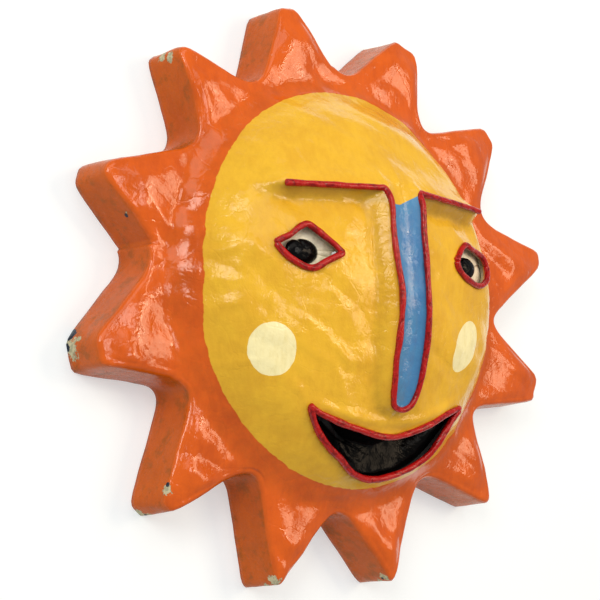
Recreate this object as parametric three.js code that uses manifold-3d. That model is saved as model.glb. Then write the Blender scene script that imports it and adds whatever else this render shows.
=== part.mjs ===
// Sun mask of painted papier-mache: a hollow shell with a domed face and twelve blunt rays, open at the back.
// It lies face up on its back rim. Millimetres: z = 0 is the plane of the rim, +Z comes out of the face,
// +Y is the top of the face and +X is on the viewer's right.

import * as THREE from 'three';
import { mergeVertices } from 'three/addons/utils/BufferGeometryUtils.js';
import Module from 'manifold-3d';

const wasm = await Module();
wasm.setup();

// Paper wall and the gap between pieces that touch
const wall = 6;
const gap = 0.4;
const dishGap = 1.6;

// Rays, clockwise from the top: direction in degrees, reach from the centre, width of the blunt tip,
// and direction and reach of the valley that follows
const rays = [
  { at: 103, reach: 286, tip: 19, valley: 89, dip: 217 },
  { at: 71, reach: 291, tip: 36, valley: 58, dip: 218 },
  { at: 41.2, reach: 304, tip: 29, valley: 26.9, dip: 228 },
  { at: 11.8, reach: 319, tip: 22, valley: -3.6, dip: 218 },
  { at: -16.8, reach: 307, tip: 32, valley: -32, dip: 213 },
  { at: -45.6, reach: 296, tip: 15, valley: -61.2, dip: 203 },
  { at: -78.7, reach: 289, tip: 9, valley: -93.6, dip: 206 },
  { at: -108, reach: 285, tip: 11, valley: -124, dip: 204 },
  { at: -137.2, reach: 281, tip: 18, valley: -152.4, dip: 205 },
  { at: -165.3, reach: 281, tip: 29, valley: 175, dip: 217 },
  { at: 162.4, reach: 281, tip: 19, valley: 144.2, dip: 210 },
  { at: 133, reach: 283, tip: 14, valley: 119, dip: 214 },
];
const tipRounding = 9;

// Middle of the dome, seen from the middle of the whole outline
const domeCentre = { x: -19.7, y: 1.8 };

// A valley is filled round, and wider the further in its line lies
const valleyRounding = 40;
const valleyWidening = 3;

// Side wall of a ray: it leans in by the draft and turns into the front with a rounded edge
const draft = 4;
const edgeRadius = 9;
const edgeTurns = [45, 90];

// Front of the rays: a ring that falls slowly outwards and swells along each ray
const ringHeight = 49;
const ringFall = 0.045;
const raySwell = 5;
const swellReach = 70;
const innerReach = 190;

// Domed face: a shallow cap on a steep flank
const domeTop = 124;
const domeCurve = 800;
const footRadius = 188;
const footHeight = 60;
const flankSlope = 1.2;
const domeRounding = 14;
const footRounding = 16;

// Brow: a shelf across the forehead, its crest at browLine, that dips where the nose groove runs out
const browLine = 85;
const browTilt = 0.033;
const browBow = 0.00016;
const browHeight = 130.5;
const browFall = 0.162;
const browEnd = 127;
const browTail = 17;
const browUnder = 14;
const browDrop = 15;
const browBack = 46;
const browNarrowing = 165;
const notchHalf = 19;
const notchBack = 8;
const notchDepth = 6;

// Nose: two ridges with a groove between them; half width and ridge height at each station along y
const noseStations = [
  { y: 87, half: 20.5, top: 130.5 },
  { y: 72, half: 20.5, top: 132 },
  { y: 46, half: 19.7, top: 133 },
  { y: 18, half: 19, top: 135.5 },
  { y: -10, half: 17.3, top: 137.5 },
  { y: -30, half: 17.5, top: 136.5 },
  { y: -50, half: 18.2, top: 133.5 },
  { y: -72, half: 18.2, top: 129 },
  { y: -90, half: 16.5, top: 125 },
  { y: -104, half: 14, top: 120.5 },
  { y: -112, half: 10.5, top: 117.5 },
  { y: -116, half: 5, top: 116 },
];
const grooveDepth = 6.5;
const noseSide = 0.95;
const noseRoot = 12;

// Cords of twisted paper glued along the edges
const noseCord = 3;
const eyeCord = 3;
const mouthCord = 3.2;
const cordSides = 6;
const cordLift = 1.2;

// Eye openings: centreline of the upper and the lower cord in the plane of the face, for the left eye
const eyeUpper = [[-132, 26.5], [-120.5, 32.5], [-111.5, 39.5], [-103.5, 43], [-95, 39.5], [-86, 34], [-69, 18.5]];
const eyeLower = [[-131.5, 23], [-125, 15.5], [-115.5, 9.5], [-105, 5.5], [-96, 6.5], [-87, 12], [-69, 22]];
const rightEyeShift = { x: 8, y: 3 };
const eyeCentre = [-101, 23];
const cupGrowth = 6;
const cupDepth = 6;
const cupWall = 3;
const pupilRadius = 15;
const pupilRise = 8;
const pupilCentre = [-103, 23];

// Mouth opening: centreline of the upper and the lower cord
const mouthUpper = [[-91, -112], [-68, -123.5], [-33, -133.5], [3, -139.5], [30, -135], [60, -124.5], [104, -111.5]];
const mouthLower = [
  [-89, -115], [-74, -136.5], [-59, -149], [-44, -158], [-29, -166], [-14, -172], [2, -176],
  [30, -175.5], [44, -172.5], [57, -168], [67, -161], [83.5, -138.5], [93.5, -124.5], [102, -114.5],
];
const mouthCentre = [4, -157];
const liningGrowth = 7;
const liningDepth = 17;
const liningWall = 3;

const radians = THREE.MathUtils.degToRad;

// Smallest and largest of two values with a rounded join of the given width
function softMin(a, b, width) {
  const meet = Math.max(width - Math.abs(a - b), 0);
  return Math.min(a, b) - (meet * meet) / (4 * width);
}

function softMax(a, b, width) {
  return -softMin(-a, -b, width);
}

function polar(degrees, reach) {
  return new THREE.Vector2(reach, 0).rotateAround(new THREE.Vector2(), radians(degrees));
}

// The ray that comes before another, going round
function rayBefore(index) {
  return rays[(index + rays.length - 1) % rays.length];
}

// A straight cut through two points as its unit normal and its distance from the centre
function cutThrough(a, b) {
  const along = b.clone().sub(a).normalize();
  const normal = new THREE.Vector2(along.y, -along.x);
  const reach = normal.dot(a);
  return reach < 0 ? { normal: normal.negate(), reach: -reach } : { normal, reach };
}

// Each ray is bounded by two flanks and a blunt tip
const rayCuts = rays.map((ray, index) => {
  const corner = polar(ray.at, ray.reach);
  const half = polar(ray.at + 90, ray.tip / 2);
  const left = corner.clone().add(half);
  const right = corner.clone().sub(half);
  return [
    cutThrough(polar(rayBefore(index).valley, rayBefore(index).dip), left),
    cutThrough(left, right),
    cutThrough(right, polar(ray.valley, ray.dip)),
  ];
});

// Reach of the outline in a direction, with every cut moved inwards by an inset
function outline(angle, inset) {
  const reachPastRay = 40;
  const heading = new THREE.Vector2(Math.cos(angle), Math.sin(angle));
  let reach = 0;
  rayCuts.forEach((cuts, index) => {
    const off = Math.abs(THREE.MathUtils.euclideanModulo(THREE.MathUtils.radToDeg(angle) - rays[index].at + 180, 360) - 180);
    if (off < reachPastRay) {
      const [left, tip, right] = cuts.map((cut) => (cut.reach - inset) / cut.normal.dot(heading));
      const inside = softMin(softMin(left, right, tipRounding), tip, tipRounding);
      reach = reach === 0 ? inside : softMax(reach, inside, valleyRounding + valleyWidening * Math.max(inset, 0));
    }
  });
  return reach;
}

// Front of the shell without brow and nose, as a height above a point of the plane
function faceHeight(x, y) {
  const radius = Math.hypot(x, y);
  const cap = domeTop - (radius * radius) / domeCurve;
  const flank = footHeight + (footRadius - radius) * flankSlope;
  const toEdge = radius > innerReach ? outline(Math.atan2(y, x), 0) - radius : 0;
  const along = THREE.MathUtils.smoothstep(radius, innerReach, innerReach + swellReach / 2);
  const swell = raySwell * along * THREE.MathUtils.smoothstep(toEdge, 0, swellReach);
  const ring = ringHeight - ringFall * (radius - footRadius) + swell;
  return softMax(softMin(cap, flank, domeRounding), ring, footRounding);
}

// The same front moved along its normal by an offset
function skin(x, y, offset) {
  const step = 1;
  const slopeX = (faceHeight(x + step, y) - faceHeight(x - step, y)) / (2 * step);
  const slopeY = (faceHeight(x, y + step) - faceHeight(x, y - step)) / (2 * step);
  return faceHeight(x, y) + offset * Math.hypot(1, slopeX, slopeY);
}

// A closed body given row by row from its lowest pole to its highest: place(row, column) gives each vertex,
// columns run anticlockwise seen from the last row
function rowsForm(rowCount, columnCount, place) {
  const profile = Array.from({ length: rowCount }, (unused, row) => new THREE.Vector2(1, row));
  const geometry = new THREE.LatheGeometry(profile, columnCount);
  for (let column = 0; column <= columnCount; column += 1) {
    for (let row = 0; row < rowCount; row += 1) {
      const { x, y, z } = place(row, column % columnCount);
      geometry.attributes.position.setXYZ(column * rowCount + row, x, y, z);
    }
  }
  return geometry;
}

// Solid of a closed geometry
function solidOf(geometry) {
  const bare = geometry.clone();
  bare.deleteAttribute('normal');
  bare.deleteAttribute('uv');
  const merged = mergeVertices(bare, 1e-4);
  const corners = merged.index.array;
  const kept = [];
  for (let first = 0; first < corners.length; first += 3) {
    const [a, b, c] = corners.slice(first, first + 3);
    if (a !== b && b !== c && c !== a) kept.push(a, b, c);
  }
  return new wasm.Manifold(new wasm.Mesh({
    numProp: 3,
    vertProperties: new Float32Array(merged.attributes.position.array),
    triVerts: new Uint32Array(kept),
  }));
}

function geometryOf(solid) {
  const mesh = solid.getMesh();
  const geometry = new THREE.BufferGeometry();
  geometry.setAttribute('position', new THREE.BufferAttribute(new Float32Array(mesh.vertProperties), 3));
  geometry.setIndex(new THREE.BufferAttribute(new Uint32Array(mesh.triVerts), 1));
  geometry.computeVertexNormals();
  return geometry;
}

// Directions of the columns: close together at the tips and in the valleys, further apart along the flanks
function columnAngles(perHalf) {
  const crowding = 0.6;
  const angles = [];
  rays.forEach((ray, index) => {
    const toNext = (ray.at - ray.valley + 360) % 360;
    const toLast = (rayBefore(index).valley - ray.at + 360) % 360;
    for (let step = perHalf; step > -perHalf; step -= 1) {
      const share = step / perHalf;
      const moved = share - (crowding * Math.sin(2 * Math.PI * share)) / (2 * Math.PI);
      angles.push(radians(ray.at + moved * (step > 0 ? toLast : toNext)));
    }
  });
  return angles.reverse();
}

// Ray and dome body: up the side walls, over the rounded edge and in across the front.
// A positive offset grows it, a negative one makes the form of the cavity.
function starForm(perHalf, offset, bottom, turns, ringRadii, domeRadii) {
  const angles = columnAngles(perHalf);
  const radius = Math.max(edgeRadius + offset, 3);
  const firstTurn = 3;
  const firstRing = firstTurn + turns.length;
  const firstDome = firstRing + ringRadii.length;
  return rowsForm(firstDome + domeRadii.length + 1, angles.length, (row, column) => {
    const angle = angles[column];
    const at = (reach, z) => new THREE.Vector3(reach * Math.cos(angle), reach * Math.sin(angle), z);
    const height = (reach) => skin(reach * Math.cos(angle), reach * Math.sin(angle), offset);
    const edge = outline(angle, draft + radius - offset);
    const top = height(edge);
    if (row === 0) return at(0, bottom);
    if (row === 1) return at(outline(angle, -offset), bottom);
    if (row === 2) return at(outline(angle, draft - offset), top - radius);
    if (row < firstRing) {
      const turn = radians(turns[row - firstTurn]);
      const inset = draft - offset + radius * (1 - Math.cos(turn));
      return at(outline(angle, inset), top - radius * (1 - Math.sin(turn)));
    }
    if (row < firstDome) {
      const ring = row - firstRing;
      const reach = Math.min(ringRadii[ring], edge - 1 - ring);
      return at(reach, height(reach));
    }
    const reach = domeRadii[row - firstDome] ?? 0;
    return at(reach, height(reach));
  });
}

// Crest of the brow above a distance from the middle: its place along y and its height
function browCrest(x) {
  const notch = Math.max(1 - (x / notchHalf) ** 2, 0);
  return {
    y: browLine + browTilt * x - browBow * x * x + notchBack * notch,
    z: browHeight - browFall * Math.abs(x) - notchDepth * notch,
  };
}

// Brow shelf: section in y and z at stations along x, steep below the crest and easing back into the forehead
function browForm(offset) {
  const roots = 12;
  const halfStations = [0, 8, 15, notchHalf, 30, 55, 80, 105, browEnd, browEnd + browTail / 2, browEnd + browTail];
  const mirrored = halfStations.slice(1).map((x) => -x).reverse();
  const stations = mirrored.concat(halfStations);
  const last = stations.length + 1;
  return rowsForm(stations.length + 2, 7, (row, column) => {
    const x = stations[THREE.MathUtils.clamp(row - 1, 0, stations.length - 1)];
    const past = Math.max(Math.abs(x) - browEnd, 0) / browTail;
    const crest = browCrest(x);
    const relief = (crest.z - skin(x, crest.y, 0)) * (1 - past) - past;
    const crestZ = skin(x, crest.y, 0) + relief + offset;
    const length = browBack * (1 - (x / browNarrowing) ** 2);
    const behind = (share, lift) => {
      const y = crest.y + share * length;
      return new THREE.Vector3(x, y, skin(x, y, 0) + lift + offset);
    };
    const section = [
      new THREE.Vector3(x, crest.y - browUnder - offset, crestZ - browDrop),
      new THREE.Vector3(x, crest.y - browUnder + 2, crestZ - browDrop - roots),
      behind(1, -4 - roots),
      behind(1, -4),
      behind(0.7, relief * 0.3),
      behind(0.35, relief * 0.8),
      new THREE.Vector3(x, crest.y, crestZ),
    ];
    if (row === 0 || row === last) {
      const sum = section.reduce((total, point) => total.add(point), new THREE.Vector3());
      return sum.divideScalar(section.length);
    }
    return section[column];
  });
}

// Nose: section in x and z at the stations; an offset grows it, a negative one hollows it
function noseForm(offset) {
  const last = noseStations.length + 1;
  return rowsForm(noseStations.length + 2, 8, (row, column) => {
    const station = noseStations[THREE.MathUtils.clamp(row - 1, 0, noseStations.length - 1)];
    const half = Math.max(station.half + offset * 0.5, 2);
    const top = station.top + offset;
    const floor = skin(0, station.y, 0) - noseRoot + offset;
    const foot = half + (top - floor) * noseSide;
    const groove = top - grooveDepth * Math.min(half / 14, 1);
    const section = [
      [foot, floor], [half, top], [half * 0.5, groove + 1.2], [0, groove],
      [-half * 0.5, groove + 1.2], [-half, top], [-foot, floor], [0, floor],
    ];
    const ends = row === 0 || row === last;
    const [x, z] = ends ? [0, (top + floor) / 2] : section[column];
    return new THREE.Vector3(x, station.y, z);
  });
}

// A cord along a smooth line of points, with closed ends
function cordAlong(points, radius, steps) {
  const section = new THREE.Shape();
  section.absarc(0, 0, radius, 0, 2 * Math.PI);
  const line = new THREE.CatmullRomCurve3(points, false, 'centripetal');
  return solidOf(new THREE.ExtrudeGeometry(section, { steps, curveSegments: cordSides / 2, extrudePath: line }));
}

// Points of the face carried up onto the front of the shell
function onFace(points, lift) {
  return points.map(([x, y]) => new THREE.Vector3(x, y, skin(x, y, lift)));
}

// Opening through the wall, along the centreline of its two cords
function openingAlong(upper, lower) {
  const low = 20;
  const high = 140;
  const shape = new THREE.Shape();
  shape.moveTo(...upper[0]);
  shape.splineThru(upper.slice(1).map(([x, y]) => new THREE.Vector2(x, y)));
  shape.splineThru(lower.slice(0, -1).reverse().map(([x, y]) => new THREE.Vector2(x, y)));
  const geometry = new THREE.ExtrudeGeometry(shape, { depth: high - low, bevelEnabled: false, curveSegments: 3 });
  return solidOf(geometry.translate(0, 0, low));
}

// Closed line around an opening, as points at even steps, anticlockwise seen from the front
function rimLine(upper, lower, count) {
  const loop = upper.concat(lower.slice(1, -1).reverse());
  const line = new THREE.CatmullRomCurve3(loop.map(([x, y]) => new THREE.Vector3(x, y, 0)), true, 'centripetal');
  const points = line.getSpacedPoints(count).slice(0, count);
  return THREE.ShapeUtils.isClockWise(points) ? points.reverse() : points;
}

// A dish glued behind an opening: its rim follows the inside of the shell and its floor is flat
function dishForm(line, centre, growth, depth, thickness) {
  const middle = new THREE.Vector3(...centre, 0);
  const behind = (point) => skin(point.x, point.y, -wall - dishGap);
  const floor = floorOf(centre, depth);
  const shares = [0, 0.7, 0.85, 1, 1, 0.85, 0.7, 0];
  const count = line.length;
  return rowsForm(shares.length, count, (row, column) => {
    const edge = line[column];
    const outward = edge.clone().sub(middle).normalize().multiplyScalar(growth);
    const rim = edge.clone().add(outward);
    const point = middle.clone().lerp(rim, shares[row]);
    const under = row < shares.length / 2 ? thickness : 0;
    const onFloor = shares[row] < 0.8;
    return point.setZ((onFloor ? Math.min(floor, behind(point) - 2) : behind(point)) - under);
  });
}

// Level of a dish's flat floor
function floorOf(centre, depth) {
  return skin(centre[0], centre[1], -wall - dishGap) - depth;
}

// A black dome that stands on the floor of an eye dish
function pupilForm() {
  const steps = 4;
  const arc = Array.from({ length: steps + 1 }, (unused, step) => {
    const turn = (step / steps) * (Math.PI / 2);
    return new THREE.Vector2(pupilRadius * Math.cos(turn), pupilRise * Math.sin(turn));
  });
  arc[steps].x = 0;
  return new THREE.LatheGeometry([new THREE.Vector2(0, 0)].concat(arc), 14).rotateX(Math.PI / 2);
}

// Outer body with brow and nose; grown by the gap it cuts the cords to lie on it
function outerForm(offset) {
  const ringRadii = [232, 206, 196];
  const domeRadii = [188, 174, 156, 132, 102, 60];
  const star = solidOf(starForm(5, offset, 0, edgeTurns, ringRadii, domeRadii));
  return star.add(solidOf(browForm(offset))).add(solidOf(noseForm(offset)));
}

const cavityRadii = [184, 172, 160, 140, 105, 60];
const cavity = solidOf(starForm(3, -wall, -2, [90], [225, 192], cavityRadii)).add(solidOf(noseForm(-wall)));
const mirror = ([x, y]) => [rightEyeShift.x - x, y + rightEyeShift.y];
const eyes = {
  left: { upper: eyeUpper, lower: eyeLower, centre: eyeCentre, pupil: pupilCentre },
  right: { upper: eyeUpper.map(mirror), lower: eyeLower.map(mirror), centre: mirror(eyeCentre), pupil: mirror(pupilCentre) },
};

// Shell with its hollow inside, its two eye openings and its mouth opening
function shell() {
  const holes = Object.values(eyes).map((eye) => openingAlong(eye.upper, eye.lower));
  holes.push(openingAlong(mouthUpper, mouthLower));
  return holes.reduce((form, hole) => form.subtract(hole), outerForm(0).subtract(cavity));
}

const raisedForm = outerForm(gap);

// Two cords that cross at both corners of an opening, cut to lie on the shell
function rimCord(upper, lower, radius, steps) {
  const cords = [upper, lower].map((points) => cordAlong(onFace(points, cordLift), radius, steps));
  return cords[0].add(cords[1]).subtract(raisedForm);
}

// One line of cord along both brow crests and round the groove of the nose
function browNoseCord() {
  const browXs = [browEnd, 100, 72, 45, 28];
  const sides = noseStations.slice(1, -1);
  const half = (side) => {
    const brow = browXs.map((x) => ({ x: side * x, ...browCrest(side * x) }));
    const nose = sides.map((station) => ({ x: side * station.half, y: station.y, z: station.top }));
    return brow.concat(nose);
  };
  const end = noseStations[noseStations.length - 1];
  const points = half(-1).concat([{ x: 0, y: end.y, z: end.top }], half(1).reverse());
  const line = points.map(({ x, y, z }) => new THREE.Vector3(x, y, z + cordLift));
  return cordAlong(line, noseCord, 50).subtract(raisedForm);
}

function piece(name, geometry, colour, roughness) {
  const material = new THREE.MeshStandardMaterial({ color: colour, roughness, metalness: 0 });
  const mesh = new THREE.Mesh(geometry, material);
  mesh.name = name;
  mesh.position.set(domeCentre.x, domeCentre.y, 0);
  return mesh;
}

const orange = '#d65a26';
const red = '#b5201f';
const cream = '#d8d0a8';
const black = '#101012';

const mask = new THREE.Group();
mask.add(piece('mask_shell', geometryOf(shell()), orange, 0.35));
mask.add(piece('brow_and_nose_cord', geometryOf(browNoseCord()), red, 0.3));
Object.entries(eyes).forEach(([side, eye]) => {
  const cup = solidOf(dishForm(rimLine(eye.upper, eye.lower, 14), eye.centre, cupGrowth, cupDepth, cupWall));
  mask.add(piece(`${side}_eye_rim`, geometryOf(rimCord(eye.upper, eye.lower, eyeCord, 8)), red, 0.3));
  mask.add(piece(`${side}_eye_cup`, geometryOf(cup), cream, 0.6));
  const pupil = pupilForm().translate(...eye.pupil, floorOf(eye.centre, cupDepth) + gap);
  mask.add(piece(`${side}_pupil`, geometryOf(solidOf(pupil)), black, 0.15));
});
mask.add(piece('mouth_rim', geometryOf(rimCord(mouthUpper, mouthLower, mouthCord, 16)), red, 0.3));
const lining = dishForm(rimLine(mouthUpper, mouthLower, 24), mouthCentre, liningGrowth, liningDepth, liningWall);
mask.add(piece('mouth_lining', geometryOf(solidOf(lining)), black, 0.25));

export default mask;
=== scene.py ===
"""A sun mask of painted papier-mache, lying face up on a pale floor.

The shell, its cords, eyes and mouth are numpy surfaces in millimetres, in the frame of the CAD model: z = 0 is the
plane of the back rim, +Z comes out of the face and +Y is its top. Meshes are written in metres.
"""

import logging
from dataclasses import dataclass, field
from enum import Enum
from typing import Any, ClassVar, Sequence

import bpy
import numpy as np
from mathutils import Matrix, Vector


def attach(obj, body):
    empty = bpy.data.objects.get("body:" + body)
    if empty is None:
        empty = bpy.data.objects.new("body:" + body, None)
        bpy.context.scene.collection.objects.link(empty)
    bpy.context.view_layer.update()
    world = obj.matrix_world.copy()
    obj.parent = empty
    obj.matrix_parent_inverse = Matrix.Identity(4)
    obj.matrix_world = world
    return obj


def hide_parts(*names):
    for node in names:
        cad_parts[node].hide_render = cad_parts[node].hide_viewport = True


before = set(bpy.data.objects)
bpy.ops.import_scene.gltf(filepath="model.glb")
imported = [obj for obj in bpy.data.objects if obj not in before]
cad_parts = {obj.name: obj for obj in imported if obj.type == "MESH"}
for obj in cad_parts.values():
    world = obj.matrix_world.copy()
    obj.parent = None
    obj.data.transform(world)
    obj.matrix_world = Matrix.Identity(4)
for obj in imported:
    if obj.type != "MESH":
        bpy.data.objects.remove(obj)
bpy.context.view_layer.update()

LOG = logging.getLogger("sun_mask")
MM = 0.001
Array = np.ndarray
Inputs = dict[Any, Any] | Sequence[Any]


class Slot(Enum):
    """Material slots of the record."""

    SHELL = "shell_paint"
    CORD = "red_cord"
    CREAM = "cream_paint"
    BLACK = "black_enamel"


class Side(Enum):
    """Side of the face, as the viewer sees it."""

    LEFT = "left"
    RIGHT = "right"


def soft_min(a: Array, b: Array, width: float) -> Array:
    """Smaller of two fields with a rounded join: min(a, b) less a parabola where they are closer than width.

    Args:
        a: first field.
        b: second field.
        width: difference under which the join is rounded.

    Returns:
        The joined field.
    """
    meet = np.maximum(width - np.abs(a - b), 0.0)
    return np.minimum(a, b) - meet * meet / (4.0 * width)


def soft_max(a: Array, b: Array, width: float) -> Array:
    """Larger of two fields with a rounded join."""
    return -soft_min(-np.asarray(a), -np.asarray(b), width)


def smooth_step(value: Array, low: float, high: float) -> Array:
    """Cubic step from 0 at low to 1 at high."""
    share = np.clip((value - low) / (high - low), 0.0, 1.0)
    return share * share * (3.0 - 2.0 * share)


@dataclass(frozen=True)
class Lumps:
    """Smooth random field: cubic interpolation between random values on a lattice, two octaves."""

    size: float
    seed: int
    detail: float = 0.5
    table: int = 64

    def _octave(self, x: Array, y: Array, z: Array, size: float, seed: int) -> Array:
        """One octave: each corner of the lattice cell has a random value, blended by smooth steps along each axis.

        Args:
            x: places along x in mm.
            y: places along y in mm.
            z: places along z in mm.
            size: edge of a cell in mm.
            seed: start of the random numbers.

        Returns:
            Values between -1 and 1.
        """
        values = np.random.default_rng(seed).uniform(-1.0, 1.0, (self.table,) * 3)
        cells = [np.floor(axis / size).astype(int) for axis in (x, y, z)]
        parts = [axis / size - cell for axis, cell in zip((x, y, z), cells)]
        eased = [part * part * (3.0 - 2.0 * part) for part in parts]
        total = np.zeros_like(x, dtype=float)
        for corner in np.ndindex(2, 2, 2):
            weight = np.ones_like(total)
            for step, ease in zip(corner, eased):
                weight = weight * (ease if step else 1.0 - ease)
            index = [(cell + step) % self.table for cell, step in zip(cells, corner)]
            total += weight * values[index[0], index[1], index[2]]
        return total

    def at(self, x: Array, y: Array, z: Array | float = 0.0) -> Array:
        """Value between about -1 and 1 at each point.

        Args:
            x: places along x in mm.
            y: places along y in mm.
            z: places along z in mm.

        Returns:
            The field at the points.
        """
        x, y, z = np.broadcast_arrays(np.asarray(x, float), np.asarray(y, float), np.asarray(z, float))
        first = self._octave(x, y, z, self.size, self.seed)
        second = self._octave(x, y, z, self.size * 0.47, self.seed + 1)
        return first + self.detail * second


def facets(x: Array, y: Array, size: float, seed: int) -> Array:
    """Flat facets of crumpled paper: random heights at the corners of a bent triangular lattice, joined by planes.

    Args:
        x: places along x in mm.
        y: places along y in mm.
        size: edge of a facet in mm.
        seed: start of the random numbers.

    Returns:
        Heights between -1 and 1.
    """
    bent_x = x + 0.3 * size * Lumps(1.4 * size, seed + 1).at(x, y)
    bent_y = y + 0.3 * size * Lumps(1.4 * size, seed + 2).at(x, y)
    across, along = (bent_x + 0.577 * bent_y) / size, 1.155 * bent_y / size
    column, row = np.floor(across).astype(int), np.floor(along).astype(int)
    s, t = across - column, along - row
    heights = np.random.default_rng(seed).uniform(-1.0, 1.0, (64, 64))

    def corner(step_x: int, step_y: int) -> Array:
        """Height at a corner of the lattice cell."""
        return heights[(column + step_x) % 64, (row + step_y) % 64]

    near = corner(0, 0) * (1.0 - s - t) + corner(1, 0) * s + corner(0, 1) * t
    far = corner(1, 1) * (s + t - 1.0) + corner(0, 1) * (1.0 - s) + corner(1, 0) * (1.0 - t)
    return np.where(s + t < 1.0, near, far)


@dataclass
class MeshGrid:
    """Vertices and faces of a piece while it is put together, in mm."""

    points: list[Array] = field(default_factory=list)
    faces: list[Array] = field(default_factory=list)
    tables: dict[str, list[Array]] = field(default_factory=dict)
    count: int = 0

    def add(self, points: Array, faces: Sequence[Array], **tables: Array) -> int:
        """Adds vertices and faces.

        Args:
            points: vertices, one row each.
            faces: index arrays with 3 or 4 columns, counted from the first new vertex.
            tables: named values, one for each vertex.

        Returns:
            Index of the first new vertex.
        """
        start = self.count
        self.points.append(points)
        self.faces.extend(part + start for part in faces if len(part))
        for name, values in tables.items():
            self.tables.setdefault(name, []).append(np.broadcast_to(values, (len(points),)))
        self.count += len(points)
        return start

    def object(self, name: str, material: bpy.types.Material, shift: Sequence[float]) -> bpy.types.Object:
        """Makes the mesh object, in metres and smooth shaded; vertices that no face uses are left out.

        Args:
            name: name of the piece.
            material: its material.
            shift: move in mm from the middle of the dome to the CAD frame.

        Returns:
            The new object, at the origin.
        """
        used, corners = np.unique(np.concatenate([part.ravel() for part in self.faces]), return_inverse=True)
        points = (np.concatenate(self.points)[used] + np.asarray(shift, float)) * MM
        mesh = bpy.data.meshes.new(name)
        sizes = np.concatenate([np.full(len(part), part.shape[1]) for part in self.faces])
        mesh.vertices.add(len(points))
        mesh.vertices.foreach_set("co", points.astype(np.float32).ravel())
        mesh.loops.add(len(corners))
        mesh.loops.foreach_set("vertex_index", corners.astype(np.int32))
        mesh.polygons.add(len(sizes))
        starts = np.concatenate([[0], np.cumsum(sizes)[:-1]])
        mesh.polygons.foreach_set("loop_start", starts.astype(np.int32))
        mesh.polygons.foreach_set("use_smooth", np.ones(len(sizes), bool))
        mesh.update(calc_edges=True)
        for title, values in self.tables.items():
            layer = mesh.attributes.new(title, "FLOAT", "POINT")
            layer.data.foreach_set("value", np.concatenate(values)[used].astype(np.float32))
        mesh.validate()
        mesh.materials.append(material)
        obj = bpy.data.objects.new(name, mesh)
        bpy.context.scene.collection.objects.link(obj)
        return obj


def grid_faces(rows: int, columns: int, flip: bool = False) -> Array:
    """Quads of a grid whose vertices are numbered row by row, and whose last column meets the first.

    Args:
        rows: number of rows of vertices.
        columns: number of vertices in a row.
        flip: turns the faces round.

    Returns:
        Four indices for each face.
    """
    row, column = np.meshgrid(np.arange(rows - 1), np.arange(columns), indexing="ij")
    after = (column + 1) % columns
    quads = np.stack([row * columns + column, row * columns + after,
                      (row + 1) * columns + after, (row + 1) * columns + column], axis=-1).reshape(-1, 4)
    return quads[:, ::-1] if flip else quads


def band_faces(first: int, second: int, count: int) -> Array:
    """Quads between two closed rings of vertices.

    Args:
        first: first vertex of one ring.
        second: first vertex of the other.
        count: number of vertices in each.

    Returns:
        Four indices for each face.
    """
    ring = np.arange(count)
    after = (ring + 1) % count
    return np.stack([first + ring, second + ring, second + after, first + after], axis=-1)


def fan_faces(first: int, count: int, hub: int, flip: bool = False) -> Array:
    """Triangles that close a ring of vertices with a hub.

    Args:
        first: first vertex of the ring.
        count: number of vertices in the ring.
        hub: vertex in its middle.
        flip: turns the faces round.

    Returns:
        Three indices for each face.
    """
    ring = np.arange(count)
    fan = np.stack([first + ring, first + (ring + 1) % count, np.full(count, hub)], axis=-1)
    return fan[:, ::-1] if flip else fan


@dataclass(frozen=True)
class Ray:
    """One ray of the sun: direction in degrees, reach, width of the blunt tip, and the valley that comes after it."""

    at: float
    reach: float
    tip: float
    valley: float
    dip: float


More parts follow.
